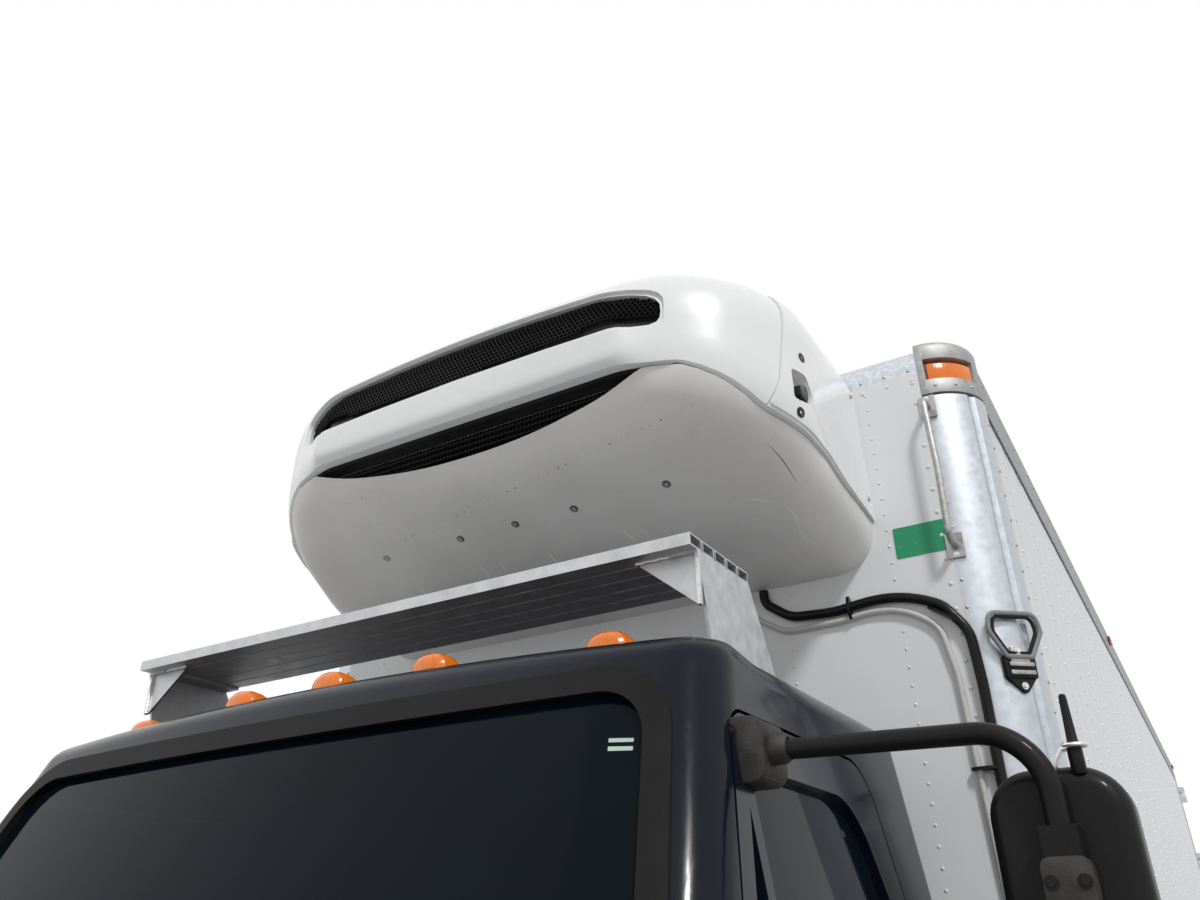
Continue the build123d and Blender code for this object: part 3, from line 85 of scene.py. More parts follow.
class Finish:
    """One material: a Principled shader and the nodes that feed it."""

    def __init__(self, name, **values):
        self.material = bpy.data.materials.new(name)
        self.material.use_nodes = True
        self.tree = self.material.node_tree
        self.tree.nodes.clear()
        output = self.tree.nodes.new("ShaderNodeOutputMaterial")
        self.shader = self.tree.nodes.new("ShaderNodeBsdfPrincipled")
        self.tree.links.new(self.shader.outputs[0], output.inputs["Surface"])
        self.set(**values)

    def plug(self, socket, value):
        if isinstance(value, Wire):
            self.tree.links.new(value.socket, socket)
        else:
            socket.default_value = value

    def node(self, kind, settings=None, out=0, **sockets):
        """Any node: its type, its settings, and values or wires for its sockets (i0 is input 0)."""
        made = self.tree.nodes.new(kind)
        for key, value in (settings or {}).items():
            setattr(made, key, value)
        for key, value in sockets.items():
            self.plug(made.inputs[int(key[1:]) if key[1:].isdigit() else key], value)
        return Wire(self, made.outputs[out])

    def math(self, operation, a, b=0.0, clamp=False):
        return self.node("ShaderNodeMath", {"operation": operation, "use_clamp": clamp}, i0=a, i1=b)

    def clamp(self, wire):
        return self.math("ADD", wire, 0.0, clamp=True)

    def place(self, stretch=(1, 1, 1)):
        spot = self.node("ShaderNodeTexCoord", out=3)
        return self.node("ShaderNodeMapping", Vector=spot, Scale=stretch)

    def axis(self, index):
        return self.node("ShaderNodeSeparateXYZ", out=index, Vector=self.place())

    def noise(self, scale, detail=3.0, stretch=(1, 1, 1)):
        return self.node("ShaderNodeTexNoise", Vector=self.place(stretch), Scale=scale, Detail=detail)

    def ramp(self, wire, low, high):
        """0 below low, 1 above high, straight between."""
        return self.node("ShaderNodeMapRange", Value=wire, i1=low, i2=high)

    def mix(self, factor, a, b):
        """Colour a where factor is 0, colour b where it is 1."""
        return self.node("ShaderNodeMix", {"data_type": "RGBA"}, out=2, i0=factor, i6=a, i7=b)

    def bump(self, height, strength, depth, **under):
        return self.node("ShaderNodeBump", Height=height, Strength=strength, Distance=depth, **under)

    def set(self, **values):
        """Main shader's sockets, with spaces written as underscores."""
        for key, value in values.items():
            self.plug(self.shader.inputs[key.replace("_", " ")], value)


def shade(colour, factor=1.0):
    """A colour with its alpha, made lighter or darker."""
    return (colour[0] * factor, colour[1] * factor, colour[2] * factor, 1.0)


print("Wire and Finish are ready")

# %% [markdown]
# ## Painted sheet
# The walls, the cab and the chassis are all painted sheet. Real paint has three things that a flat colour
# lacks: a faint orange peel, dust that settles unevenly, and runs of dirt drawn down by rain. One helper
# makes them all, with the amounts as numbers.

# %% Paint
def paint(name, colour, rough, coat, dust, dust_colour, peel=0.00012, bend=1.45):
    f = Finish(name, IOR=bend)
    cloud = f.ramp(f.noise(1.3, 5.0), 0.45, 0.8)
    streak = f.ramp(f.noise(9.0, 4.0, (1, 1, 0.09)), 0.5, 0.85)
    dirt = f.clamp(cloud * 0.5 + streak * 0.5) * dust
    f.set(Base_Color=f.mix(dirt, shade(colour), shade(dust_colour)))
    f.set(Roughness=dirt * 0.5 + rough + f.noise(40.0, 2.0) * 0.04)
    f.set(Normal=f.bump(f.noise(420.0, 2.0), 0.25, peel), Coat_Weight=coat, Coat_Roughness=0.04)
    return f.material


painted = {
    # colour, roughness, coat, dust, colour of the dust, depth of the orange peel, refraction
    "cab_paint": ((0.006, 0.008, 0.016), 0.14, 0.10, 0.10, (0.05, 0.05, 0.055), 0.00012, 1.22),
    "frame_paint": ((0.020, 0.020, 0.022), 0.5, 0.0, 0.6, (0.12, 0.10, 0.08), 0.0005),
    "panel_white": ((0.80, 0.81, 0.82), 0.28, 0.25, 0.16, (0.50, 0.50, 0.48)),
    "rim_paint": ((0.62, 0.62, 0.60), 0.32, 0.3, 0.45, (0.16, 0.14, 0.12)),
    "roof_sheet": ((0.62, 0.63, 0.64), 0.45, 0.0, 0.35, (0.30, 0.29, 0.27)),
}
finishes = {name: paint(name, *row) for name, row in painted.items()}
print(len(finishes), "painted finishes")

# %% [markdown]
# ## Bare metal
# The posts and rails of the body are mill aluminium that has stood in the weather: blotches of lighter
# and darker oxide, a few centimetres across, on a soft mirror. Castings are darker and grainy, and the
# tank is brushed. They share a helper: the larger its spots value, the smaller the blotches, and contrast
# is their strength.

# %% Metals
def metal(name, colour, rough, spots, contrast, grain, brushed=(1, 1, 1), scratch=0.0):
    f = Finish(name, Metallic=1.0)
    spread = f.ramp(f.noise(spots, 6.0), 0.3, 0.7)
    f.set(Base_Color=f.mix(spread, shade(colour, 1 - contrast), shade(colour)))
    cracks = f.node("ShaderNodeTexVoronoi", {"feature": "DISTANCE_TO_EDGE"}, Vector=f.place((1, 1, 0.12)),
                    Scale=90.0)
    wear = f.ramp(cracks, 0.0, 0.02)
    f.set(Roughness=f.clamp(spread * 0.16 + rough + (1 - wear) * scratch))
    f.set(Normal=f.bump(f.noise(260.0, 3.0, brushed), 0.4, grain))
    return f.material


metals = {
    # colour, roughness, spots, contrast, grain, stretch of the brush marks, scratches
    "body_metal": ((0.57, 0.60, 0.64), 0.38, 42.0, 0.16, 0.0002, (1, 1, 1), 0.1),
    "cap_metal": ((0.44, 0.44, 0.43), 0.48, 55.0, 0.3, 0.0006),
    "deck_metal": ((0.62, 0.63, 0.64), 0.42, 34.0, 0.25, 0.0003),
    "tank_metal": ((0.78, 0.78, 0.78), 0.26, 12.0, 0.12, 0.0001, (1, 0.04, 1)),
    "fitting_steel": ((0.50, 0.50, 0.49), 0.38, 60.0, 0.35, 0.0003),
    "cast_parts": ((0.10, 0.095, 0.09), 0.62, 40.0, 0.5, 0.0012),
    "bumper_chrome": ((0.86, 0.87, 0.88), 0.06, 8.0, 0.05, 0.00002),
}
finishes |= {name: metal(name, *row) for name, row in metals.items()}


def side_sheet():
    """Aluminium sheet under thin white paint: soft upright waves between the columns of rivets."""
    f = Finish("side_sheet", Metallic=0.45)
    column_pitch = 0.2032
    turns = f.axis(1) * (2 * math.pi / column_pitch)
    wave = f.math("SINE", turns + f.noise(1.1, 2.0, (1, 1, 0.15)) * 5.0)
    mottle = f.ramp(f.noise(34.0, 5.0), 0.35, 0.7)
    f.set(Base_Color=f.mix(mottle, (0.55, 0.57, 0.60, 1), (0.63, 0.65, 0.68, 1)))
    f.set(Roughness=mottle * 0.10 + 0.30)
    f.set(Normal=f.bump(f.noise(9.0, 3.0, (1, 1, 0.3)), 0.30, 0.004, Normal=f.bump(wave, 0.8, 0.0045)))
    return f.material


def rail_sheet():
    """The same aluminium as the posts, speckled, and darker on the two long sides as painted shade."""
    f = Finish("rail_sheet", Metallic=1.0)
    # Painted shade: beyond |x| = 1.19 the rail takes a darker speckled colour, while the front rail stays
    # pale.
    aside = f.math("GREATER_THAN", f.math("ABSOLUTE", f.axis(0)), 1.190)
    blotch = f.ramp(f.noise(90.0, 6.0), 0.42, 0.62)
    pale = f.mix(blotch, (0.56, 0.59, 0.63, 1), (0.66, 0.69, 0.73, 1))
    speckled_painted_shade = f.mix(blotch, (0.15, 0.155, 0.17, 1), (0.31, 0.325, 0.35, 1))
    f.set(Base_Color=f.mix(aside, pale, speckled_painted_shade), Roughness=blotch * 0.14 + 0.38)
    f.set(Normal=f.bump(f.noise(260.0, 3.0), 0.4, 0.0003))
    return f.material


print(len(finishes), "finishes with the metals")

# %% [markdown]
# ## Plastic, rubber, glass and lamps
# The cooling unit is moulded plastic: glossy white above, chalkier below where stones and the wash brush
# meet it. Rubber is dark and almost dull. The glass is nearly black from outside, so it is a dark shader
# with some alpha, which shows the cabin faintly. Lamp lenses have a painted glow of their own colour, and
# their ribs are painted shade: darker bands in that colour.

# %% Mouldings, rubber and glass
def moulding(name, colour, rough, coat, grain, grain_size, chalk, chalk_colour, bend=1.45):
    f = Finish(name, IOR=bend)
    cloud = f.ramp(f.noise(3.5, 5.0), 0.4, 0.75)
    speck = f.ramp(f.noise(85.0, 2.0), 0.66, 0.74)
    f.set(Base_Color=f.mix(f.clamp(cloud * chalk + speck * chalk * 0.6), shade(colour), shade(chalk_colour)))
    f.set(Roughness=cloud * 0.12 + rough, Normal=f.bump(f.noise(grain_size, 3.0), 0.35, grain))
    f.set(Coat_Weight=coat, Coat_Roughness=0.05)
    return f.material


def lens(name, colour, painted_glow):
    # Painted glow: the lens emits light of its own colour. Painted shade: the ribs darken that colour in
    # bands.
    f = Finish(name, Roughness=0.16, Coat_Weight=0.25, Coat_Roughness=0.03)
    rib_bumps_and_painted_shade = f.noise(2.0, 1.0, (90, 90, 2))
    f.set(Base_Color=f.mix(rib_bumps_and_painted_shade, shade(colour, 0.55), shade(colour)))
    f.set(Emission_Color=shade(colour), Emission_Strength=painted_glow, Normal=f.bump(rib_bumps_and_painted_shade, 0.5, 0.001))
    return f.material


def tinted_glass(name, colour, alpha):
    f = Finish(name, Roughness=0.03, Alpha=alpha, IOR=1.16)
    f.set(Base_Color=f.mix(f.ramp(f.noise(2.2, 4.0), 0.35, 0.8), shade(colour), shade(colour, 1.8)))
    f.set(Normal=f.bump(f.noise(1.1, 1.0), 0.2, 0.002))
    return f.material


def spot_finish(name, colour, rough, worn, worn_colour):
    """A finish for one small piece: a colour, worn here and there."""
    f = Finish(name, Roughness=rough)
    wear = f.ramp(f.noise(60.0, 5.0), 0.62, 0.72) * worn
    f.set(Base_Color=f.mix(wear, shade(colour), shade(worn_colour)))
    f.set(Normal=f.bump(f.noise(300.0), 0.2, 0.0002))
    return f.material


dull = 1.20
mouldings = {
    # colour, roughness, coat, grain, its fineness, chalk, colour of the chalk, refraction
    "unit_white": ((0.86, 0.865, 0.87), 0.24, 0.4, 0.00008, 160.0, 0.06, (0.6, 0.6, 0.6)),
    "unit_grey": ((0.80, 0.785, 0.77), 0.38, 0.15, 0.0003, 90.0, 0.32, (0.50, 0.49, 0.47)),
    "box_black": ((0.020, 0.020, 0.022), 0.50, 0.0, 0.0006, 380.0, 0.25, (0.09, 0.09, 0.09)),
    "mirror_shell": ((0.012, 0.012, 0.013), 0.42, 0.1, 0.0004, 700.0, 0.1, (0.05, 0.05, 0.05), dull),
    "dash_plastic": ((0.07, 0.07, 0.075), 0.55, 0.0, 0.0008, 500.0, 0.1, (0.12, 0.12, 0.12)),
    "grille_black": ((0.010, 0.010, 0.011), 0.34, 0.2, 0.0001, 300.0, 0.2, (0.05, 0.05, 0.05), dull),
    "seal_rubber": ((0.012, 0.012, 0.013), 0.55, 0.0, 0.0003, 260.0, 0.3, (0.05, 0.05, 0.05), dull),
    "hose_rubber": ((0.010, 0.010, 0.011), 0.36, 0.1, 0.0002, 400.0, 0.2, (0.04, 0.04, 0.04), dull),
    "tyre": ((0.018, 0.018, 0.019), 0.78, 0.0, 0.0006, 220.0, 0.5, (0.075, 0.07, 0.062)),
    "seat_cloth": ((0.06, 0.06, 0.068), 0.85, 0.0, 0.001, 900.0, 0.3, (0.12, 0.12, 0.12)),
}
finishes |= {name: moulding(name, *row) for name, row in mouldings.items()}
finishes |= {
    "window_glass": tinted_glass("window_glass", (0.003, 0.006, 0.010), 0.88),
    "lamp_amber": lens("lamp_amber", (0.90, 0.205, 0.008), 0.18),
    "lamp_red": lens("lamp_red", (0.55, 0.012, 0.012), 0.12),
    "lamp_clear": lens("lamp_clear", (0.62, 0.65, 0.68), 0.05),
}
for row in frame["record"]["subparts"]:
    piece = nodes[row["node"]]
    piece.data.materials.clear()
    piece.data.materials.append(finishes[row["material_slot"]])
nodes["side_walls"].data.materials[0] = side_sheet()
nodes["top_rails"].data.materials[0] = rail_sheet()
print("every CAD piece has one of", len(finishes) + 2, "finishes")

# %% [markdown]
# ## Smooth shading without touching the mesh
# A CAD piece arrives as loose triangles, so a rolled rail would look faceted. A Geometry Nodes modifier
# welds the triangles for display, shades them smooth and keeps every edge sharper than a set angle. The
# stored mesh stays.

# %% Weld and smooth
def new_tree(name, **inputs):
    """A Geometry Nodes tree, the sockets at its two ends, and the identifiers of its named inputs."""
    tree = bpy.data.node_groups.new(name, "GeometryNodeTree")
    socket = tree.interface.new_socket
    socket("Geometry", in_out="INPUT", socket_type="NodeSocketGeometry")
    names = {label: socket(label, in_out="INPUT", socket_type="NodeSocket" + kind).identifier
             for label, kind in inputs.items()}
    socket("Geometry", in_out="OUTPUT", socket_type="NodeSocketGeometry")
    return tree, tree.nodes.new("NodeGroupInput").outputs, tree.nodes.new("NodeGroupOutput").inputs[0], names


def smooth_tree(limit):
    tree, start, end, _ = new_tree("weld_and_smooth")
    weld, faces, edges, angle, sharp = (tree.nodes.new(kind) for kind in (
        "GeometryNodeMergeByDistance", "GeometryNodeSetShadeSmooth", "GeometryNodeSetShadeSmooth",
        "GeometryNodeInputMeshEdgeAngle", "FunctionNodeCompare"))
    weld.inputs["Distance"].default_value = 0.00002
    edges.domain = "EDGE"
    sharp.operation = "LESS_THAN"
    sharp.inputs[1].default_value = math.radians(limit)
    for a, b in ((start[0], weld.inputs["Geometry"]), (weld.outputs[0], faces.inputs["Geometry"]),
                 (faces.outputs[0], edges.inputs["Geometry"]), (angle.outputs[0], sharp.inputs[0]),
                 (sharp.outputs[0], edges.inputs["Shade Smooth"]), (edges.outputs[0], end)):
        tree.links.new(a, b)
    return tree


smoothing = smooth_tree(28)
for node in nodes.values():
    node.modifiers.new("weld_and_smooth", "NODES").node_group = smoothing
print(len(nodes), "pieces shade smooth")

# %% [markdown]
# ## Meshes and pieces
# A new shape starts as a plain mesh. `baked` works modifiers into a mesh, `merged` and `mirrored` combine
# meshes, and `put` turns the result into a piece: its finish and the body that it rides on.

# %% From mesh to piece
def linked(name, data):
    """A new object in the scene."""
    made = bpy.data.objects.new(name, data)
    bpy.context.scene.collection.objects.link(made)
    return made


def held(mesh):
    """A mesh in a passing object, so that a modifier can use it."""
    return linked("passing", mesh)


def baked(passing, *others):
    """An object's mesh with its modifiers worked in. The passing objects are removed."""
    bpy.context.view_layer.update()
    graph = bpy.context.evaluated_depsgraph_get()
    mesh = bpy.data.meshes.new_from_object(passing.evaluated_get(graph), depsgraph=graph)
    for made in (passing, *others):
        bpy.data.objects.remove(made)
    return mesh


def run(tree, names, mesh, values, *others):
    """The result of a node tree on a mesh, with values for its named inputs."""
    carrier = held(mesh)
    modifier = carrier.modifiers.new("grow", "NODES")
    modifier.node_group = tree
    for name, value in values.items():
        modifier[names[name]] = value
    return baked(carrier, *others)


def merged(meshes):
    """Several meshes as one."""
    bm = bmesh.new()
    for mesh in meshes:
        bm.from_mesh(mesh)
    whole = bpy.data.meshes.new("whole")
    bm.to_mesh(whole)
    bm.free()
    return whole


def mirrored(mesh):
    """The same mesh on the other side of the truck, faces outwards."""
    other = mesh.copy()
    other.transform(Matrix.Scale(-1, 4, (1, 0, 0)))
    other.flip_normals()
    return other


def on_both_sides(*meshes):
    """The meshes of the left side with their mirror images."""
    return merged([*meshes, *map(mirrored, meshes)])


def put(name, mesh, slot, finish=None, bevel=0.0, smooth=True, body="truck"):
    """A piece on a body: its finish, an optional small bevel, and smooth shading between sharp edges."""
    mesh.materials.clear()
    mesh.materials.append(finish or finishes[slot])
    piece = linked(name, mesh)
    if bevel:
        rim = piece.modifiers.new("bevel", "BEVEL")
        rim.width = bevel
        rim.segments = 2
        rim.limit_method = "ANGLE"
        rim.angle_limit = math.radians(38)
    if smooth:
        piece.modifiers.new("weld_and_smooth", "NODES").node_group = smoothing
    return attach(piece, body)


sides = (("left", lambda mesh: mesh), ("right", mirrored))
print("meshes can become pieces")

# %% [markdown]
# ## Rivets by the row
# A truck body is held by thousands of rivets. A Geometry Nodes tree turns a flat grid of points into
# domes: the grid's size and counts are its named inputs, so one tree serves every row of the front wall.

# %% The rivet tree
def dome_tree():
    tree, start, end, names = new_tree("rivet_rows", Across="Float", Along="Float", Columns="Int", Rows="Int",
                                       Radius="Float")
    grid, ball, flat, copies, real, smooth = (tree.nodes.new("GeometryNode" + kind) for kind in (
        "MeshGrid", "MeshUVSphere", "Transform", "InstanceOnPoints", "RealizeInstances", "SetShadeSmooth"))
    ball.inputs["Rings"].default_value = 6
    ball.inputs["Segments"].default_value = 8
    flat.inputs["Scale"].default_value = (1, 1, 0.55)
    for a, b in ((start["Across"], grid.inputs["Size X"]), (start["Along"], grid.inputs["Size Y"]),
                 (start["Columns"], grid.inputs["Vertices X"]), (start["Rows"], grid.inputs["Vertices Y"]),
                 (start["Radius"], ball.inputs["Radius"]), (grid.outputs["Mesh"], copies.inputs["Points"]),
                 (ball.outputs["Mesh"], flat.inputs["Geometry"]),
                 (flat.outputs[0], copies.inputs["Instance"]), (copies.outputs[0], real.inputs[0]),
                 (real.outputs[0], smooth.inputs[0]), (smooth.outputs[0], end)):
        tree.links.new(a, b)
    return tree, names


rivets, rivet_inputs = dome_tree()
wall_low, wall_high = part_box("front_wall")
wall_face = wall_low.y
upright = Matrix(((1, 0, 0), (0, 0, -1), (0, 1, 0))).to_4x4()


def rivet_field(x, z, across, along, columns, rows, radius):
    """Rivets on the front wall: the middle of the field, its two sizes and its two counts."""
    values = {"Across": across, "Along": along, "Columns": columns, "Rows": rows, "Radius": radius}
    field = run(rivets, rivet_inputs, bpy.data.meshes.new("grower"), values)
    field.transform(Matrix.Translation((x, wall_face, z)) @ upright)
    return field


wall_mid = (wall_low.z + wall_high.z) / 2
wall_span = wall_high.z - wall_low.z - 0.06
edge_x = wall_high.x - 0.018
wall_fields = [rivet_field(0.002, wall_mid, 6 * 0.305, wall_span, 7, 48, 0.0045),
               rivet_field(-edge_x, wall_mid, 0, wall_span, 1, 34, 0.006),
               rivet_field(edge_x, wall_mid, 0, wall_span, 1, 34, 0.006),
               rivet_field(0, wall_high.z - 0.02, 2 * edge_x, 0, 30, 1, 0.006)]
put("wall_rivets", merged(wall_fields), "panel_white", smooth=False)
print("front wall rivets stand at y =", round(wall_face, 3))

# %% [markdown]
# ## Outlines, plates and cuts
# Most parts of a truck are plates with rounded corners. `rounded` turns a short table of corners into
# points, `skinned` joins rings of points, `plate` pushes an outline along one axis, and `carve` cuts and
# joins shapes with the exact boolean solver, which keeps the edges where two surfaces meet crisp.

# %% Outline, plate and carve
def rounded(rows, steps=5):
    """Points round a closed outline. rows: a, b, corner radius."""
    points = []
    for index, (a, b, radius) in enumerate(rows):
        corner = Vector((a, b))
        if radius == 0:
            points.append(corner)
            continue
        back = Vector(rows[index - 1][:2]) - corner
        ahead = Vector(rows[(index + 1) % len(rows)][:2]) - corner
        reach = min(radius / math.tan(back.angle(ahead) / 2), 0.49 * back.length, 0.49 * ahead.length)
        start = corner + back.normalized() * reach
        end = corner + ahead.normalized() * reach
        for k in range(steps + 1):
            t = k / steps
            points.append(start * (1 - t) ** 2 + corner * (2 * t * (1 - t)) + end * t ** 2)
    return points


def four(a0, a1, b0, b1, radius):
    """The rows of a rectangle with rounded corners."""
    return [(a0, b0, radius), (a1, b0, radius), (a1, b1, radius), (a0, b1, radius)]


def circle(count, twist=0.0):
    """Cosine and sine at even steps round a circle."""
    angles = [2 * math.pi * k / count + twist for k in range(count)]
    return [(math.cos(a), math.sin(a)) for a in angles]


def mesh_of(bm):
    """A bmesh as a mesh with merged doubles and faces that point outwards."""
    bmesh.ops.remove_doubles(bm, verts=bm.verts, dist=0.00001)
    bmesh.ops.recalc_face_normals(bm, faces=bm.faces)
    mesh = bpy.data.meshes.new("shape")
    bm.to_mesh(mesh)
    bm.free()
    return mesh


def skinned(rings, closed=False):
    """A mesh through rings of equally many points, with flat ends or closed on itself."""
    bm = bmesh.new()
    loops = [[bm.verts.new(point) for point in ring] for ring in rings]
    count = len(rings[0])
    following = loops[1:] + loops[:1] if closed else loops[1:]
    for low, high in zip(loops, following):
        for k in range(count):
            bm.faces.new((low[k], low[(k + 1) % count], high[(k + 1) % count], high[k]))
    if not closed:
        bm.faces.new(loops[0])
        bm.faces.new(loops[-1])
    return mesh_of(bm)


def lifted(axis, along, a, b):
    """The point at along on one axis, with a and b on the two others."""
    return {"x": (along, a, b), "y": (a, along, b), "z": (a, b, along)}[axis]


def plate(rows, axis, low, high, steps=5):
    outline = rounded(rows, steps)
    return skinned([[lifted(axis, along, a, b) for a, b in outline] for along in (low, high)])


def carve(mesh, *steps):
    """Booleans one after another. steps: operation, mesh."""
    body = held(mesh)
    tools = [held(data) for _, data in steps]
    for (operation, _), tool in zip(steps, tools):
        modifier = body.modifiers.new("carve", "BOOLEAN")
        modifier.operation = operation
        modifier.solver = "EXACT"
        modifier.object = tool
    return baked(body, *tools)


minus, within = "DIFFERENCE", "INTERSECT"
print("outline, plate and carve are ready")

# %% [markdown]
# ## Stamps on points
# Bolts, nuts, mesh cells and small rivets are copies of one small shape on known points. A second
# Geometry Nodes tree takes those points, turns each copy to the direction stored with its point, and
# hands back one plain mesh. The points come from short tables or are dropped onto a surface with a ray,
# so they sit on it from every side.

# %% The stamp tree
def stamp_tree():
    tree, start, end, names = new_tree("stamped_points", Stamp="Object", Size="Float")
    die, direction, turn, copies, real = (tree.nodes.new(kind) for kind in (
        "GeometryNodeObjectInfo", "GeometryNodeInputNamedAttribute", "FunctionNodeAlignRotationToVector",
        "GeometryNodeInstanceOnPoints", "GeometryNodeRealizeInstances"))
    direction.data_type = "FLOAT_VECTOR"
    direction.inputs["Name"].default_value = "facing"
    turn.axis = "Z"
    for a, b in ((start["Geometry"], copies.inputs["Points"]), (start["Stamp"], die.inputs["Object"]),
                 (die.outputs["Geometry"], copies.inputs["Instance"]),
                 (direction.outputs["Attribute"], turn.inputs["Vector"]),
                 (turn.outputs["Rotation"], copies.inputs["Rotation"]),
                 (start["Size"], copies.inputs["Scale"]), (copies.outputs[0], real.inputs[0]),
                 (real.outputs[0], end)):
        tree.links.new(a, b)
    return tree, names


stamping, stamp_inputs = stamp_tree()


def stamped(points, stamp, size):
    """Copies of a stamp. points: place, facing."""
    base = bpy.data.meshes.new("points")
    base.from_pydata([place for place, _ in points], [], [])
    store = base.attributes.new("facing", "FLOAT_VECTOR", "POINT")
    for value, (_, direction) in zip(store.data, points):
        value.vector = direction
    die = held(stamp.copy())
    return run(stamping, stamp_inputs, base, {"Stamp": die, "Size": size}, die)


def turned_stamp(rows, count):
    """A small round or many-sided shape about Z, closed above and below. rows: radius, z."""
    return skinned([[(r * c, r * s, z) for c, s in circle(count)] for r, z in rows])


def pushed_apart(rows, count, twist=0.0):
    """A closed ring about Z from a closed section. rows: radius, z."""
    return skinned([[(r * c, r * s, z) for r, z in rows] for c, s in circle(count, twist)], closed=True)


def surface(mesh):
    bm = bmesh.new()
    bm.from_mesh(mesh)
    tree = BVHTree.FromBMesh(bm)
    bm.free()
    return tree


def dropped(tree, origin, direction):
    """Where a ray meets a surface: place and facing."""
    place, normal, _, _ = tree.ray_cast(Vector(origin), Vector(direction).normalized())
    return place, -normal if normal.dot(Vector(direction)) > 0 else normal


ahead = Vector((0, -1, 0))
dome_stamp = turned_stamp([(1.0, -0.1), (0.94, 0.22), (0.68, 0.46), (0.28, 0.58)], 8)
bolt_stamp = merged([turned_stamp([(1.45, -0.1), (1.45, 0.18)], 14),
                     turned_stamp([(1.0, 0.1), (1.0, 0.62), (0.86, 0.76)], 6)])
screw_stamp = merged([pushed_apart([(1.9, -0.1), (1.9, 0.12), (1.15, 0.22), (1.15, -0.1)], 16),
                      turned_stamp([(1.0, -0.3), (1.0, 0.05), (0.55, 0.12), (0.50, -0.2)], 12)])
cell_stamp = pushed_apart([(1.0, 0.0), (1.0, 1.0), (0.83, 1.0), (0.83, 0.0)], 6, math.pi / 6)
print("stamps: dome, bolt, screw and mesh cell")

# %% [markdown]
# ## From a pixel to a place
# The camera's place and angles were solved from the edges of the body. The same numbers turn a pixel of
# the photograph into a ray, and where the ray meets a surface, a small thing seen there is put on that
# surface.

# %% The camera's rays
photo_width, photo_height = 1200, 900
focal = 961.65
camera_spot = Vector((1.505, -5.370, 2.000))
yaw, pitch, roll = (math.radians(degrees) for degrees in (-30.952, 27.509, -0.941))
view = Vector((math.sin(yaw) * math.cos(pitch), math.cos(yaw) * math.cos(pitch), math.sin(pitch)))
level = Vector((math.cos(yaw), -math.sin(yaw), 0))
top = level.cross(view)
camera_right = level * math.cos(roll) + top * math.sin(roll)
camera_top = top * math.cos(roll) - level * math.sin(roll)
camera_turn = Matrix((camera_right, camera_top, -view)).transposed().to_4x4()


def seen(tree, px, py):
    """Where a pixel of the photograph lands on a surface: place, facing."""
    pixel = Vector(((px - photo_width / 2) / focal, (photo_height / 2 - py) / focal, -1.0))
    return dropped(tree, camera_spot, camera_turn.to_3x3() @ pixel)


print("camera stands at", tuple(camera_spot))

# %% [markdown]
# ## The cooling unit
# The unit is one moulded body that tapers and rounds off towards the front, parted by a joint into a
# glossy hood and a chalky belly. A row of sections, eased into each other without overshoot, gives that
# body at any depth and any offset, so hood, belly, gasket, side panels and the floors of the grille
# recesses all come from the same rule and fit each other.

# %% The unit's sections
unit_rows = [
    # depth ahead of the wall, half width low, z low, half width high, z high, corner radius low, high
    (0.000, 0.890, 2.905, 0.880, 3.574, 0.140, 0.170),
    (0.150, 0.890, 2.935, 0.880, 3.576, 0.145, 0.170),
    (0.300, 0.890, 2.974, 0.880, 3.578, 0.150, 0.170),
    (0.420, 0.886, 3.045, 0.876, 3.580, 0.150, 0.170),
    (0.520, 0.859, 3.098, 0.846, 3.580, 0.150, 0.175),
    (0.600, 0.810, 3.136, 0.796, 3.578, 0.150, 0.175),
    (0.665, 0.742, 3.180, 0.728, 3.572, 0.140, 0.170),
    (0.713, 0.656, 3.230, 0.643, 3.554, 0.120, 0.150),
    (0.738, 0.596, 3.262, 0.583, 3.534, 0.090, 0.110),
    (0.762, 0.548, 3.285, 0.536, 3.508, 0.060, 0.090),
    (0.775, 0.525, 3.300, 0.512, 3.490, 0.045, 0.070),
    (0.779, 0.505, 3.314, 0.490, 3.474, 0.035, 0.060),
]
unit_depths, *unit_columns = ([row[c] for row in unit_rows] for c in range(7))
unit_steps = [0.0005, 0.05, 0.10, 0.15, 0.20, 0.25, 0.30, 0.34, 0.38, 0.42, 0.45, 0.48, 0.51, 0.54, 0.57,
              0.60, 0.63, 0.655, 0.68, 0.70, 0.715, 0.73, 0.743, 0.755, 0.765, 0.772, 0.776, 0.779]
unit_crown = 0.029
arc_steps = 9


def eased(knots, values, at):
    """A smooth curve through the knots that never overshoots them."""
    slopes = [(values[i + 1] - values[i]) / (knots[i + 1] - knots[i]) for i in range(len(knots) - 1)]
    middle = [2 * a * b / (a + b) if a * b > 0 else 0.0 for a, b in zip(slopes, slopes[1:])]
    tangents = [slopes[0], *middle, slopes[-1]]
    i = max(k for k in range(len(slopes)) if knots[k] <= at)
    h = knots[i + 1] - knots[i]
    t = (at - knots[i]) / h
    near = (1 + 2 * t) * (1 - t) ** 2 * values[i] + t * (1 - t) ** 2 * h * tangents[i]
    return near + t * t * (3 - 2 * t) * values[i + 1] + t * t * (t - 1) * h * tangents[i + 1]


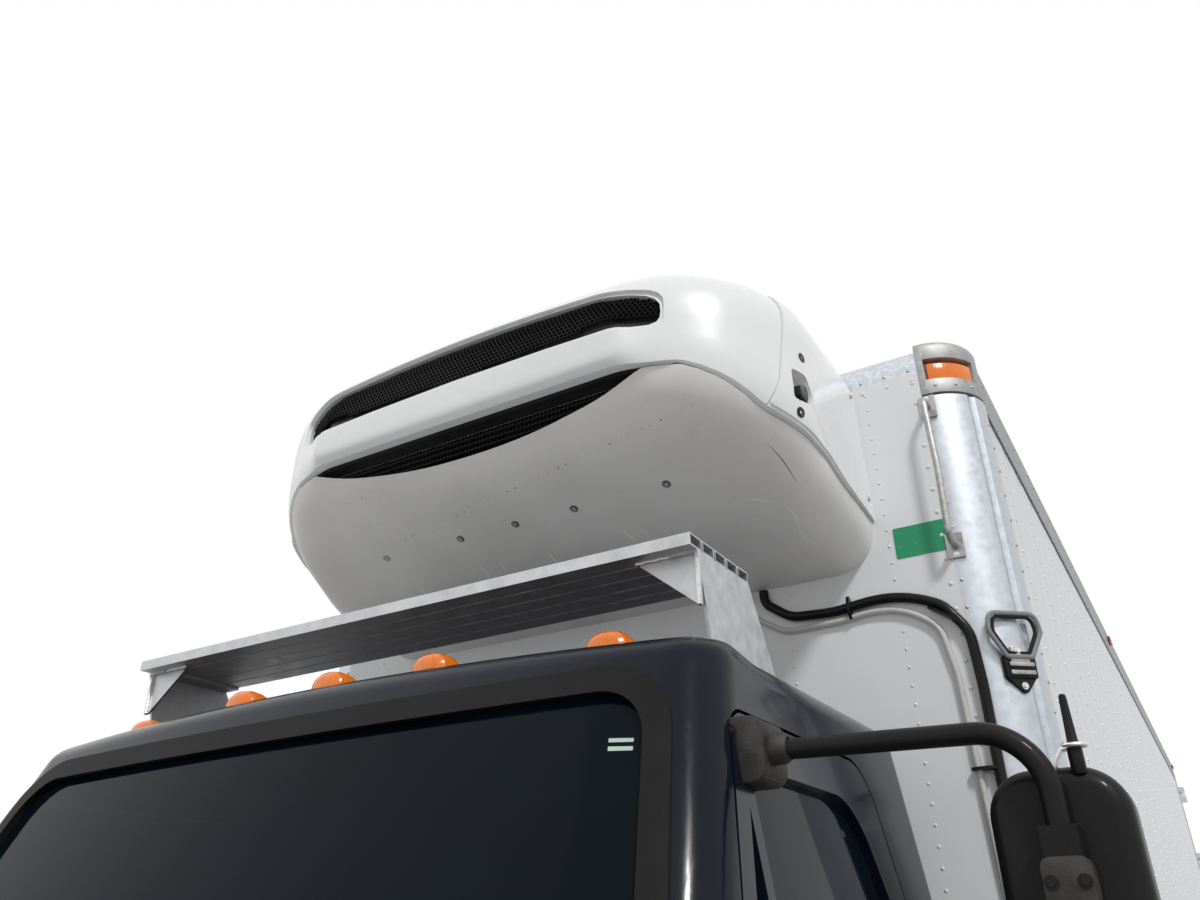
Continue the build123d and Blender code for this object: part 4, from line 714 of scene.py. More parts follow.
def unit_ring(depth, grow):
    """The unit's section at a depth ahead of the wall, grown outwards all round."""
    low, z_low, high, z_high, r_low, r_high = (eased(unit_depths, column, depth) for column in unit_columns)
    arcs = rounded([(low + grow, z_low - grow, r_low), (high + grow, z_high + grow, r_high),
                    (-high - grow, z_high + grow, r_high), (-low - grow, z_low - grow, r_low)], arc_steps)
    ring = []
    for corner, cuts in enumerate((8, 22, 8, 22)):
        group = arcs[corner * (arc_steps + 1):(corner + 1) * (arc_steps + 1)]
        after = arcs[(corner + 1) * (arc_steps + 1) % len(arcs)]
        ring += group + [group[-1].lerp(after, k / cuts) for k in range(1, cuts)]
    middle = (z_low + z_high) / 2
    y = wall_face - depth - (grow if depth > 0.7 else 0)
    points = []
    for x, z in ring:
        lift = max(0.0, (z - middle) / (z_high - middle)) * unit_crown * (1 - (x / high) ** 2)
        points.append((x, y, z + lift))
    return points


def unit_form(grow=0.0):
    return skinned([unit_ring(depth, grow) for depth in unit_steps])


def from_wall(rows):
    """Outline rows whose first number is the distance ahead of the wall."""
    return [(wall_face - distance, z, radius) for distance, z, radius in rows]


seam_rows = [(-0.05, 3.040, 0), (0.245, 3.070, 0.6), (0.560, 3.166, 0.2), (0.705, 3.276, 0.04),
             (0.90, 3.292, 0)]


def along_seam(shift, far_z):
    """Everything between the joint line, raised by shift, and the height far_z."""
    rows = [(distance, z + shift, radius) for distance, z, radius in seam_rows]
    return plate(from_wall(rows + [(0.90, far_z, 0), (-0.05, far_z, 0)]), "x", -1.2, 1.2, 12)


print("the unit tapers over", len(unit_rows), "sections")

# %% [markdown]
# ## Hood, belly, gasket and panels
# The two grille recesses are sunk by a fixed depth below the curved face: their tool is a straight plate
# with a smaller copy of the body taken away. The belly stands 6 mm back from the hood, the rubber gasket
# lies in between, and each side carries a thin service panel with a grey, D-shaped recess for its paddle
# latch.

# %% Recesses and shells
def upper_outline(margin):
    """A long slot whose top edge bows up with the unit's crown."""
    low = [(0.0, 3.400), (0.300, 3.396), (0.450, 3.391), (0.545 + margin, 3.388), (0.588 + margin, 3.391),
           (0.606 + margin, 3.399), (0.614 + margin, 3.412)]
    high = [(0.616 + margin, 3.432), (0.614 + margin, 3.455), (0.602 + margin, 3.474),
            (0.580 + margin, 3.487), (0.540, 3.496), (0.450, 3.505), (0.300, 3.514), (0.150, 3.520),
            (0.0, 3.522)]
    right = [(x, z - margin) for x, z in low] + [(x, z + margin) for x, z in high]
    return [(x, z, 0) for x, z in right] + [(-x, z, 0) for x, z in reversed(right[1:-1])]


def lower_outline(half=0.585, bow=0.083):
    """A crescent: straight on top, bowed below."""
    along = [half * math.cos(math.pi * k / 36) for k in reversed(range(37))]
    return [(x, 3.288 - bow * (1 - abs(x / half) ** 2.2) ** 0.75, 0) for x in along]


upper_rows, lip_rows, lower_rows = upper_outline(0.0), upper_outline(0.012), lower_outline()
ahead_y, behind_y = wall_face - 0.9, wall_face - 0.45


def through_face(rows):
    """A straight plate that reaches through the unit's face."""
    return plate(rows, "y", ahead_y, behind_y, 8)


def sunk(rows, depth):
    """A recess tool whose floor lies depth below the unit's face."""
    return carve(through_face(rows), (minus, unit_form(-depth)))


latch_rows = from_wall([(0.500, 3.205, 0.012), (0.500, 3.292, 0.012), (0.440, 3.292, 0.028),
                        (0.420, 3.240, 0.030), (0.440, 3.205, 0.028)])
panel_rows = from_wall([(0.012, 3.046, 0.004), (0.012, 3.548, 0), (0.474, 3.548, 0), (0.556, 3.174, 0.010),
                        (0.245, 3.079, 0.6)])
seam_cut = from_wall([(0.4705, 3.566, 0), (0.4745, 3.566, 0), (0.5615, 3.165, 0), (0.5570, 3.165, 0)])
seam_tool = carve(plate(seam_cut, "x", 0.70, 1.0), (minus, unit_form(-0.006)))
latch_tool = plate(latch_rows, "x", 0.846, 1.0)
hood_shell = carve(unit_form(), (within, along_seam(0.003, 4.0)), (minus, sunk(lip_rows, 0.007)),
                   (minus, sunk(upper_rows, 0.026)), (minus, latch_tool), (minus, mirrored(latch_tool)),
                   (minus, seam_tool), (minus, mirrored(seam_tool)))
belly_shell = carve(unit_form(-0.006), (within, along_seam(-0.003, 2.0)), (minus, sunk(lower_rows, 0.046)))
gasket = carve(unit_form(-0.012), (within, along_seam(-0.004, 4.0)), (within, along_seam(0.004, 2.0)))
panel = carve(unit_form(0.0034), (minus, unit_form(0.0004)), (within, plate(panel_rows, "x", 0.7, 1.0, 9)),
              (minus, latch_tool))
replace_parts(put("unit_hood_shell", hood_shell, "unit_white"), "unit_hood")
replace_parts(put("unit_belly_shell", belly_shell, "unit_grey"), "unit_belly")
put("unit_gasket", gasket, "seal_rubber")
put("unit_side_panels", on_both_sides(panel), "unit_white")
print("hood", len(hood_shell.polygons), "faces, belly", len(belly_shell.polygons), "faces")

# %% [markdown]
# ## Perforated grilles
# The grilles are black steel honeycomb. Six-sided rings on a triangular lattice make it, and each ring is
# dropped onto a smaller copy of the unit's body, so the mesh bends with the face. A black sheet behind it is
# painted shade for the dark inside of the unit, and hides the fans.

# %% Honeycomb
pitch = 0.0125
rise = pitch * math.sqrt(3) / 2


def inside(rows, a, b, margin):
    """Whether a point lies inside a convex outline by at least margin."""
    for (a0, b0, _), (a1, b1, _) in zip(rows, rows[1:] + rows[:1]):
        edge = Vector((a1 - a0, b1 - b0)).normalized()
        if edge.x * (b - b0) - edge.y * (a - a0) < margin:
            return False
    return True


def honeycomb(rows, depth):
    face = surface(unit_form(-depth))
    points = []
    for row in range(-60, 60):
        for column in range(-90, 90):
            x = (column + 0.5 * (row % 2)) * pitch
            z = 3.38 + row * rise
            if inside(rows, x, z, 0.3 * pitch):
                points.append((dropped(face, (x, ahead_y, z), (0, 1, 0))[0], ahead))
    return stamped(points, cell_stamp, pitch / math.sqrt(3))


# Painted shade: a black sheet behind the honeycomb stands for the dark inside of the unit.
def painted_shade_sheet(rows, depth):
    return carve(unit_form(-depth), (within, through_face(rows)))


meshes = merged([honeycomb(upper_rows, 0.020), honeycomb(lower_rows, 0.036)])
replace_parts(put("unit_honeycomb", meshes, "grille_black"), "unit_grilles")
shade_sheets = merged([painted_shade_sheet(upper_rows, 0.0255), painted_shade_sheet(lower_rows, 0.0455)])
put("unit_grille_backs", shade_sheets, "grille_black")
print("honeycomb", len(meshes.polygons), "faces")

# %% [markdown]
# ## Screws, locks and latches of the unit
# Five screws hold the belly, key locks and bolts hold the panels. Each is dropped onto the surface with a
# ray.

# %% Fasteners of the unit
belly_face = surface(belly_shell)
panel_face = surface(merged([hood_shell, panel]))
belly_screws = [dropped(belly_face, (x, wall_face - 0.471, 2.6), (0, 0, 1))
                for x in (-0.485, -0.198, 0, 0.198, 0.485)]


def on_panel(rows):
    """Points on both side panels. rows: distance ahead of the wall, z."""
    points = []
    for side in (-1, 1):
        for distance, z in rows:
            spot = dropped(panel_face, (1.2, wall_face - distance, z), (-1, 0, 0))
            points.append([Vector((side * v.x, v.y, v.z)) for v in spot])
    return points


put("unit_screws", stamped(belly_screws, screw_stamp, 0.0065), "fitting_steel")
bolts = on_panel([(0.040, 3.430), (0.040, 3.099)])
put("unit_bolts", stamped(bolts, bolt_stamp, 0.0055), "fitting_steel")
locks = on_panel([(0.448, 3.344), (0.478, 3.172)])
put("unit_locks", stamped(locks, screw_stamp, 0.0072), "grille_black")
paddle = plate(from_wall([(0.494, 3.210, 0.006), (0.494, 3.240, 0.006), (0.446, 3.262, 0.02),
                          (0.430, 3.235, 0.02), (0.446, 3.210, 0.012)]), "x", 0.850, 0.880)
put("unit_paddles", on_both_sides(paddle), "grille_black", bevel=0.003)
put("unit_latch_trays", on_both_sides(plate(latch_rows, "x", 0.8465, 0.850)), "unit_grey")
print(len(belly_screws), "belly screws")

# %% [markdown]
# ## Corner posts, caps and their lamps
# Quarter-round aluminium posts run up the front corners, with a shallow groove towards the side, and end
# a hand below the roof. A cast cap closes each corner: it is domed on top and holds an amber lamp in a
# recess that bends round the corner. All of it is made of quarter rings about one axis.

# %% Quarter rings
corner_x, corner_y = 1.075, wall_face + 0.144
post_radius = 0.1438


def corner_at(radius, angle, z):
    """A point round the left corner's axis; 0 degrees looks ahead, 90 degrees to the side."""
    a = math.radians(angle)
    return (corner_x + radius * math.sin(a), corner_y - radius * math.cos(a), z)


def quarter(z, radius=post_radius, groove=0.0):
    """A quarter disc, with a groove of some depth at 57 degrees."""
    radii = [radius - groove * max(0.0, 1 - ((angle - 57) / 5) ** 2) for angle in range(0, 91, 3)]
    return [corner_at(r, 3 * k, z) for k, r in enumerate(radii)] + [(corner_x, corner_y, z)]


def sector(r0, r1, a0, a1, z0, z1, steps=14):
    """A part of a ring between two radii, two angles and two heights."""
    section = ((r0, z0), (r1, z0), (r1, z1), (r0, z1))
    angles = [a0 + (a1 - a0) * k / steps for k in range(steps + 1)]
    return skinned([[corner_at(r, angle, z) for r, z in section] for angle in angles])


dome = 0.032
dome_foot = 3.5745 - dome
post = skinned([quarter(z, groove=0.006) for z in (1.180, 3.386)])
cap_rings = [quarter(z) for z in (3.394, dome_foot)]
for turn in (15, 30, 45, 60, 75, 90):
    t = math.radians(turn)
    cap_rings.append(quarter(dome_foot + dome * math.sin(t), post_radius - dome * (1 - math.cos(t))))
cap = carve(skinned(cap_rings), (minus, sector(0.116, 0.180, 8, 73, 3.440, 3.508)))
neck = skinned([quarter(z, 0.128) for z in (3.38, 3.40)])
lamp = sector(0.1164, 0.1385, 11, 71, 3.441, 3.494)
posts = put("posts_grooved", on_both_sides(post), "body_metal")
caps = put("caps_cast", on_both_sides(cap, neck), "cap_metal", bevel=0.002)
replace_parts(posts, "corner_posts")
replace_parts(caps, "corner_caps")
put("corner_lamps", on_both_sides(lamp), "lamp_amber", bevel=0.003)


def on_post_face(angle, z):
    """A place on the post and its facing."""
    place = Vector(corner_at(post_radius, angle, z))
    return place, (place - Vector((corner_x, corner_y, z))).normalized()


cap_rivets = stamped([on_post_face(angle, 3.418) for angle in (17, 40, 63)], dome_stamp, 0.0055)
put("cap_rivets", on_both_sides(cap_rivets), "fitting_steel")
print(len(cap_rings), "rings in each cap")

# %% [markdown]
# ## Roof lamps
# Five amber marker lamps stand on the cab's roof. Each lens is a little bullet, a rounded arch that falls
# away to the rear, on a black rubber foot. Small red lamps sit in the top rails.

# %% Bullet lamps
lamp_rows = [(-0.647, -3.899), (-0.268, -3.932), (0, -3.936), (0.268, -3.932), (0.647, -3.899)]
arch_rows = [
    # distance behind the lamp's front, half width, height
    (0.000, 0.026, 0.026), (0.004, 0.036, 0.034), (0.012, 0.043, 0.040), (0.028, 0.046, 0.043),
    (0.050, 0.045, 0.041), (0.072, 0.039, 0.034), (0.090, 0.030, 0.023), (0.100, 0.018, 0.012),
]
arch = [(math.cos(math.pi * k / 14), math.sin(math.pi * k / 14)) for k in range(15)]


def roof_height(x):
    return 2.478 - 0.040 * (x / 1.1) ** 2


def bullet(x, y):
    low = roof_height(x) + 0.002
    return skinned([[(x + half * math.copysign(abs(c) ** 0.8, c), y - 0.045 + back, low + height * s ** 0.8)
                     for c, s in arch] for back, half, height in arch_rows])


def lamp_foot(x, y):
    low = roof_height(x) - 0.012
    rings = []
    for z, grow in ((low, 0.006), (low + 0.016, 0.006), (low + 0.019, 0.003)):
        rows = [(x - 0.046 - grow, y - 0.048 - grow, 0.03), (x + 0.046 + grow, y - 0.048 - grow, 0.03),
                (x + 0.032 + grow, y + 0.060 + grow, 0.03), (x - 0.032 - grow, y + 0.060 + grow, 0.03)]
        rings.append([(a, b, z) for a, b in rounded(rows, 6)])
    return skinned(rings)


lenses = put("roof_lenses", merged([bullet(x, y) for x, y in lamp_rows]), "lamp_amber")
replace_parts(lenses, "roof_lamps")
put("roof_lamp_feet", merged([lamp_foot(x, y) for x, y in lamp_rows]), "seal_rubber")
side_lens = plate(four(0.381, 0.491, 3.436, 3.464, 0.006), "x", 1.218, 1.233)
rear_side_lens = side_lens.copy()
rear_side_lens.transform(Matrix.Translation((0, 5.0, 0)))
put("side_lenses", on_both_sides(side_lens, rear_side_lens), "lamp_red", bevel=0.003)
print(len(lamp_rows), "roof lamps")

# %% [markdown]
# ## Rivets of the body
# The side walls carry a column of rivets every 406 mm, the posts' edges and the top rails a closer row.
# The points are listed by loops and stamped with the small dome.

# %% Side, rail and post rivets
aside = Vector((1, 0, 0))
side_columns = [wall_face + 0.165] + [wall_face + 0.312 + 0.4064 * k for k in range(20)]
side_points = [(Vector((1.213, y, 1.345 + 0.047 * k)), aside) for y in side_columns for k in range(43)]
rail_points = [(Vector((1.219, wall_face + 0.19 + 0.12 * k, z)), aside)
               for k in range(69) for z in (3.378, 3.470)]
front_points = [(Vector((-1.05 + 0.07 * k, wall_face, 3.484)), ahead) for k in range(31)]
post_points = [on_post_face(angle, 1.22 + 0.0735 * (k + shift))
               for k in range(30) for angle, shift in ((4, 0.0), (86, 0.5))]
put("side_rivets", on_both_sides(stamped(side_points, dome_stamp, 0.0050)), "tank_metal")
trim = on_both_sides(stamped(rail_points + post_points, dome_stamp, 0.0052))
put("trim_rivets", merged([trim, stamped(front_points, dome_stamp, 0.0052)]), "fitting_steel")
print(2 * len(side_points), "rivets on the side walls")

# %% [markdown]
# ## Small things on the wall and the cab
# A blank green plate beside the grab handle, two pale stripes on the windshield, the weld beads of the
# roof deck, the ties of the hoses, and the stub of an aerial on the mirror's arm: each sits where the
# photograph shows it.

# %% Plate, stripes, beads, ties and aerial
green = spot_finish("placard_green", (0.010, 0.30, 0.13), 0.35, 0.5, (0.35, 0.45, 0.38))
placard = plate(four(0.932, 1.069, 2.925, 3.012, 0.004), "y", wall_face - 0.0016, wall_face + 0.0004)
put("placard_blank", placard, "panel_white", green)

glass_face = surface(nodes["cab_glass"].data)
stripes = []
for corners in ([(609, 738.6), (634, 738.2), (633.6, 742.0), (608.6, 742.6)],
                [(608.2, 746.8), (633.2, 746.4), (632.8, 750.6), (607.8, 751.2)]):
    hits = [seen(glass_face, px, py) for px, py in corners]
    stripes.append(skinned([[place + normal * lift for place, normal in hits] for lift in (0.0001, 0.0008)]))
pale = spot_finish("stripe_pale", (0.55, 0.66, 0.58), 0.5, 0.3, (0.3, 0.36, 0.33))
put("screen_stripes", merged(stripes), "panel_white", pale)

bead_points = []
for start, end in (((0.664, -3.833, 2.6608), (0.790, -3.833, 2.6608)),
                   ((0.7915, -3.8335, 2.655), (0.7915, -3.8335, 2.560))):
    for k in range(24):
        wobble = 0.0008 * math.sin(5.1 * k) + 0.0005 * math.sin(2.3 * k)
        bead_points.append((Vector(start).lerp(Vector(end), k / 23) + Vector((0, -0.002, wobble)), ahead))
bead = stamped(bead_points, turned_stamp([(1.0, -0.9), (1.0, 0.1), (0.7, 0.6), (0.2, 0.8)], 8), 0.0050)
put("deck_beads", on_both_sides(bead), "tank_metal")


def tie(x, z, radius, turn):
    """A cable tie: a flat strap round the two hoses."""
    place = Vector((x, wall_face, z))
    spin = Matrix.Rotation(turn, 4, "Y")
    return skinned([[place + spin @ Vector((radius * 1.25 * c, -0.014 - 0.0155 * s, height))
                     for c, s in circle(20)] for height in (-0.0035, 0.0035)])


ties = [tie(0.788, 2.812, 0.026, math.radians(88)), tie(1.036, 2.745, 0.044, math.radians(35)),
        tie(1.062, 2.369, 0.030, 0.0)]
put("hose_ties", merged(ties), "hose_rubber")

aerial_x, aerial_y = 1.3630, -3.945
aerial = turned_stamp([(0.0085, -0.036), (0.0095, -0.034), (0.0095, -0.006), (0.0075, 0.000), (0.0078, 0.004),
                       (0.0068, 0.006), (0.0050, 0.060), (0.0046, 0.064), (0.0030, 0.066)], 14)
aerial.transform(Matrix.Translation((aerial_x, aerial_y, 2.2290)))
collar = turned_stamp([(0.0095, -0.002), (0.0165, -0.001), (0.0175, 0.001), (0.0165, 0.003),
                       (0.0095, 0.005)], 20)
collar.transform(Matrix.Translation((aerial_x, aerial_y, 2.2270)))
front_edge, rear_edge = aerial_y - 0.011, aerial_y + 0.011
strap = skinned([[(x, front_edge, low), (x, front_edge, high), (x, rear_edge, high), (x, rear_edge, low)]
                 for x, low, high in ((1.3310, 2.176, 2.180), (1.3350, 2.196, 2.201), (1.3400, 2.212, 2.217),
                                      (1.3480, 2.223, 2.228), (1.3600, 2.226, 2.230))])
put("aerial", aerial, "mirror_shell", body="door_left")
put("aerial_bracket", merged([collar, strap]), "tank_metal", body="door_left")
print(len(bead_points), "beads of the deck's weld on each side")

# %% Castings of the mirror arms
arm_y = -3.974
foot_front = arm_y - 0.033
clamp_front = arm_y - 0.025
arm_feet = [plate(four(*box, 0.026), "y", foot_front, arm_y + 0.058) for box in (
    (0.880, 0.958, 2.214, 2.310), (0.934, 1.016, 1.462, 1.558))]
sleeve = pushed_apart([(0.015, 0.0), (0.024, 0.0), (0.0225, 0.026), (0.018, 0.034), (0.015, 0.034)], 20)
for x, z in ((0.952, 2.262), (1.010, 1.510)):
    one = sleeve.copy()
    one.transform(Matrix.Translation((x, arm_y, z)) @ Matrix.Rotation(math.radians(90), 4, "Y"))
    arm_feet.append(one)
clamp = plate(four(1.299, 1.357, 2.036, 2.094, 0.014), "y", clamp_front, arm_y + 0.022)
arm_bolts = [(Vector((x, foot_front, z)), ahead) for x, z in (
    (0.905, 2.238), (0.905, 2.288), (0.962, 1.484), (0.962, 1.536))]
clamp_bolts = [(Vector((x, clamp_front, 2.065)), ahead) for x in (1.309, 1.347)]
bolt_mesh = merged([stamped(arm_bolts, bolt_stamp, 0.0085), stamped(clamp_bolts, bolt_stamp, 0.0062)])
for side, turned_over in sides:
    put("arm_castings_" + side, turned_over(merged([*arm_feet, clamp])), "cast_parts", bevel=0.007,
        body="door_" + side)
    put("arm_bolts_" + side, turned_over(bolt_mesh), "grille_black", body="door_" + side)
print(len(arm_bolts) + len(clamp_bolts), "bolts on each arm")

# %% [markdown]
# ## Latch, hoses and handle
# The draw latch on the corner post is a rubber-coated wire bail, wide above and narrow below, on an
# over-centre body that is bolted to a black plate. The handle and its clips keep the shape of their CAD
# piece: a mesh comes apart into its loose pieces, so that each can take a finish of its own, as the black
# hose and the pale pipe do.

# %% Loose pieces
def loose_pieces(mesh):
    """The separate shapes in one mesh, with their triangles welded."""
    bm = bmesh.new()
    bm.from_mesh(mesh)
    bmesh.ops.remove_doubles(bm, verts=bm.verts, dist=0.00001)
    bm.verts.index_update()
    done = set()
    shapes = []
    for first in bm.verts:
        if first in done:
            continue
        reached = {first}
        newest = [first]
        while newest:
            near = {edge.other_vert(vertex) for vertex in newest for edge in vertex.link_edges}
            newest = [vertex for vertex in near if vertex not in reached]
            reached.update(newest)
        done |= reached
        wanted = {vertex.index for vertex in reached}
        part = bm.copy()
        bmesh.ops.delete(part, geom=[v for v in part.verts if v.index not in wanted], context="VERTS")
        shapes.append(mesh_of(part))
    bm.free()
    return shapes


def edge_of(shape, axis, side=min):
    """The least or the greatest place of a mesh along an axis."""
    return side(vertex.co[axis] for vertex in shape.vertices)


hose, pipe = sorted(loose_pieces(nodes["wall_hoses"].data), key=lambda shape: edge_of(shape, 1))
pipe_finish = spot_finish("pipe_pale", (0.60, 0.59, 0.55), 0.42, 0.5, (0.30, 0.30, 0.28))
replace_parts(put("hose_black", hose, "hose_rubber"), "wall_hoses")
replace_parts(put("pipe_pale", pipe, "hose_rubber", pipe_finish), "wall_hoses")
kept = [shape for shape in loose_pieces(nodes["wall_fittings"].data) if edge_of(shape, 0, max) < 1.12]
handle = put("handle_and_clips", merged(kept), "fitting_steel")
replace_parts(handle, "wall_fittings")
handle_face = surface(handle.data)
handle_bolts = [dropped(handle_face, (1.086, -3.2, z), (0, 1, 0)) for z in (2.905, 3.375)]
put("handle_bolts", stamped(handle_bolts, bolt_stamp, 0.0055), "tank_metal")
print(len(kept), "pieces of the handle and the clips stay")

# %% The draw latch
latch_turn = math.radians(41.7)
latch_out = Vector((math.sin(latch_turn), -math.cos(latch_turn), 0))
latch_side = Vector((math.cos(latch_turn), math.sin(latch_turn), 0))
plate_face, bolt_face, lever_face = 0.139, 0.1515, 0.1590


def on_post(u, z, out):
    """A point beside the post: sideways from the latch's middle, height, distance from the post's axis."""
    return Vector((corner_x, corner_y, z)) + latch_side * u + latch_out * out


def post_plate(rows, near, far):
    outline = rounded(rows, 4)
    return skinned([[on_post(u, z, out) for u, z in outline] for out in (near, far)])


def looped(rows, wide, deep, out):
    """A closed bar along an outline on the post."""
    spots = rounded(rows, 6)
    rings = []
    for k, spot in enumerate(spots):
        along = (spots[(k + 1) % len(spots)] - spots[k - 1]).normalized()
        across = Vector((along.y, -along.x))
        rings.append([on_post(*(spot + across * (wide * c)), out + deep * s) for c, s in circle(10)])
    return skinned(rings, closed=True)


def bail_rows(shrink):
    rows = [(-0.034, 2.626, 0.010), (0.034, 2.626, 0.010), (0.071, 2.690, 0.030), (0.064, 2.737, 0.040),
            (-0.064, 2.737, 0.040), (-0.071, 2.690, 0.030)]
    return [(u * (1 - shrink), 2.684 + (z - 2.684) * (1 - shrink), r) for u, z, r in rows]


bail_grey = spot_finish("bail_grey", (0.22, 0.23, 0.24), 0.46, 0.5, (0.40, 0.40, 0.40))
put("latch_bail", looped(bail_rows(0.0), 0.0062, 0.0052, 0.1585), "hose_rubber", bail_grey)
put("latch_ring", looped(bail_rows(0.17), 0.0050, 0.0046, 0.1560), "grille_black")
tip = post_plate([(-0.049, 2.584, 0.008), (0.049, 2.588, 0.008), (0.004, 2.534, 0.012)], plate_face,
                 bolt_face)
base = post_plate([(-0.041, 2.574, 0.006), (0.041, 2.574, 0.006), (0.043, 2.634, 0.012),
                   (-0.043, 2.634, 0.012)], plate_face, 0.1555)
put("latch_base", merged([tip, base]), "grille_black", bevel=0.0015)
bars = [post_plate(four(-0.033, 0.033, z, z + 0.010, 0.003), 0.1545, 0.1625) for z in (2.582, 2.602)]
lever = post_plate([(-0.026, 2.612, 0.004), (0.026, 2.612, 0.004), (0.020, 2.655, 0.010),
                    (-0.020, 2.655, 0.010)], 0.1500, lever_face)
put("latch_lever", merged([*bars, lever]), "fitting_steel", bevel=0.0012)
latch_bolts = [(on_post(-0.004, 2.640, lever_face), latch_out), (on_post(0.002, 2.556, bolt_face), latch_out)]
put("latch_bolts", stamped(latch_bolts, bolt_stamp, 0.0062), "tank_metal")
print("the latch faces", tuple(round(v, 2) for v in latch_out))

# %% [markdown]
# ## Marks on the belly
# Stones have chipped the belly, a long scratch runs round its corner, and the wash brush has rubbed it
# pale above the deck. Each mark is a slim leaf laid on the surface where the photograph shows it.

# %% Scratch, scuffs and chips
def mark(start, end, half, bow=0.0, steps=8):
    """A slim leaf on the belly between two pixels of the photograph."""
    hits = []
    for k in range(steps + 1):
        t = k / steps
        side = bow * math.sin(math.pi * t)
        hits.append(seen(belly_face, start[0] + (end[0] - start[0]) * t + side,
                         start[1] + (end[1] - start[1]) * t - side))
    rings = []
    for k, (place, normal) in enumerate(hits):
        along = (hits[min(k + 1, steps)][0] - hits[max(k - 1, 0)][0]).normalized()
        across = along.cross(normal) * (half * math.sin(math.pi * (k + 0.4) / (steps + 0.8)))
        low = place - normal * 0.0004
        high = place + normal * 0.0004
        rings.append([low - across, low + across, high + across * 0.7, high - across * 0.7])
    return skinned(rings)


scuff_rows = [
    # two pixels, half width, bow in pixels
    ((786, 507), (800, 532), 0.006, 2), ((800, 532), (818, 545), 0.004, -1),
    ((742, 499), (772, 503), 0.003, 1), ((619, 531), (636, 545), 0.005, 2),
    ((548, 552), (561, 564), 0.005, -1), ((479, 566), (491, 580), 0.005, 1),
    ((418, 586), (428, 596), 0.004, 0), ((500, 563), (508, 574), 0.003, 0),
    ((640, 528), (650, 540), 0.003, 1),
]
rubbed = spot_finish("rubbed_pale", (0.86, 0.86, 0.85), 0.5, 0.6, (0.66, 0.65, 0.64))
put("belly_scuffs", merged([mark(*row) for row in scuff_rows]), "unit_grey", rubbed)
chip_points = []
for k in range(34):
    px = 350 + 350 * ((k * 0.618) % 1)
    chip_points.append(seen(belly_face, px, 500 - 0.29 * (px - 340) + 62 * ((k * 0.3819 + 0.1) % 1)))
chips = [stamped(chip_points[k::3], dome_stamp, size) for k, size in enumerate((0.0013, 0.0021, 0.0009))]
scratch = mark((767, 443), (797, 483), 0.0012, 1.5, 12)
put("belly_chips", merged([*chips, scratch]), "grille_black")
print(len(scuff_rows), "scuffs,", len(chip_points), "chips and a scratch")

# %% [markdown]
# ## Tyres
# A truck tyre is a turned ring, so its section goes round the axle once. Road tyres on the front axle
# have four grooves round them, and drive tyres on the rear axle have three grooves and two rows of lugs
# on their shoulders. The section stays inside the solid tyre's form.

# %% Tyres with grooves and lugs
axle_z = 0.510
tread = 0.5095
front_y, rear_y = -4.684, 2.326
twin_x = (0.742, 1.082)


def tyre(x_mid, y_mid, middles, half, depth, shoulder):
    """A tyre with grooves of some half width and depth at the middles, and a shoulder of some radius."""
    wall = [(-0.1045, 0.2863), (-0.108, 0.3022), (-0.117, 0.3055), (-0.130, 0.335), (-0.1385, 0.375),
            (-0.1388, 0.405), (-0.135, 0.440), (-0.128, 0.470), (-0.1195, shoulder - 0.010),
            (-0.106, shoulder)]
    grooves = [(middle + half * part, tread - depth * sunken) for middle in middles for part, sunken in (
        (-1, 0), (-0.7, 1), (0.7, 1), (1, 0))]
    section = wall + grooves + [(-x, r) for x, r in reversed(wall)] + [(0.098, 0.2862), (-0.098, 0.2862)]
    return skinned([[(x_mid + x, y_mid + r * c, axle_z + r * s) for x, r in section] for c, s in circle(96)],
                   closed=True)


lug = skinned([[(-0.022, -0.0105, 0.0), (0.020, -0.0125, 0.0), (0.020, 0.0085, 0.0), (-0.022, 0.0105, 0.0)],
               [(-0.020, -0.0095, 0.0146), (0.019, -0.0115, 0.0146), (0.019, 0.0075, 0.0146),
                (-0.020, 0.0095, 0.0146)]])


def lugs(x_mid, count=58):
    """Two rows of shoulder lugs; each stands on the tread and points outwards."""
    parts = []
    for side in (-1, 1):
        half_turn = Matrix.Rotation(math.pi * (side < 0), 4, "Z")
        for k in range(count):
            turn = Matrix.Rotation(2 * math.pi * (k + 0.25 * side) / count, 4, "X")
            part = lug.copy()
            part.transform(Matrix.Translation((x_mid + side * 0.0865, rear_y, axle_z)) @ turn
                           @ Matrix.Translation((0, 0, 0.4948)) @ half_turn)
            parts.append(part)
    return merged(parts)


road_tyre = tyre(1.015, front_y, (-0.072, -0.025, 0.025, 0.072), 0.0055, 0.013, 0.5085)
twins = [tyre(x, rear_y, (-0.038, 0.0, 0.038), 0.006, 0.016, 0.5000) for x in twin_x]
drive_tyres = merged([*twins, *map(lugs, twin_x)])
for side, turned_over in sides:
    front_piece = put("road_tyre_" + side, turned_over(road_tyre), "tyre", body="wheel_front_" + side)
    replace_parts(front_piece, "front_tyre_" + side)
    rear_piece = put("drive_tyres_" + side, turned_over(drive_tyres), "tyre", body="wheel_rear_" + side)
    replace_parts(rear_piece, "rear_tyres_" + side)
print("drive tyres", len(drive_tyres.polygons), "faces a side")

# %% Wheel nuts and hub bolts
nut_stamp = merged([turned_stamp([(1.25, -0.1), (1.25, 0.25), (1.05, 0.45)], 14),
                    turned_stamp([(1.0, 0.2), (1.0, 1.35), (0.8, 1.55)], 6),
                    turned_stamp([(0.62, 1.2), (0.62, 2.1), (0.5, 2.25)], 10)])


def nut_ring(x, y_mid, radius, count, size, stamp):
    points = [(Vector((x, y_mid + radius * c, axle_z + radius * s)), aside) for c, s in circle(count)]
    return stamped(points, stamp, size)


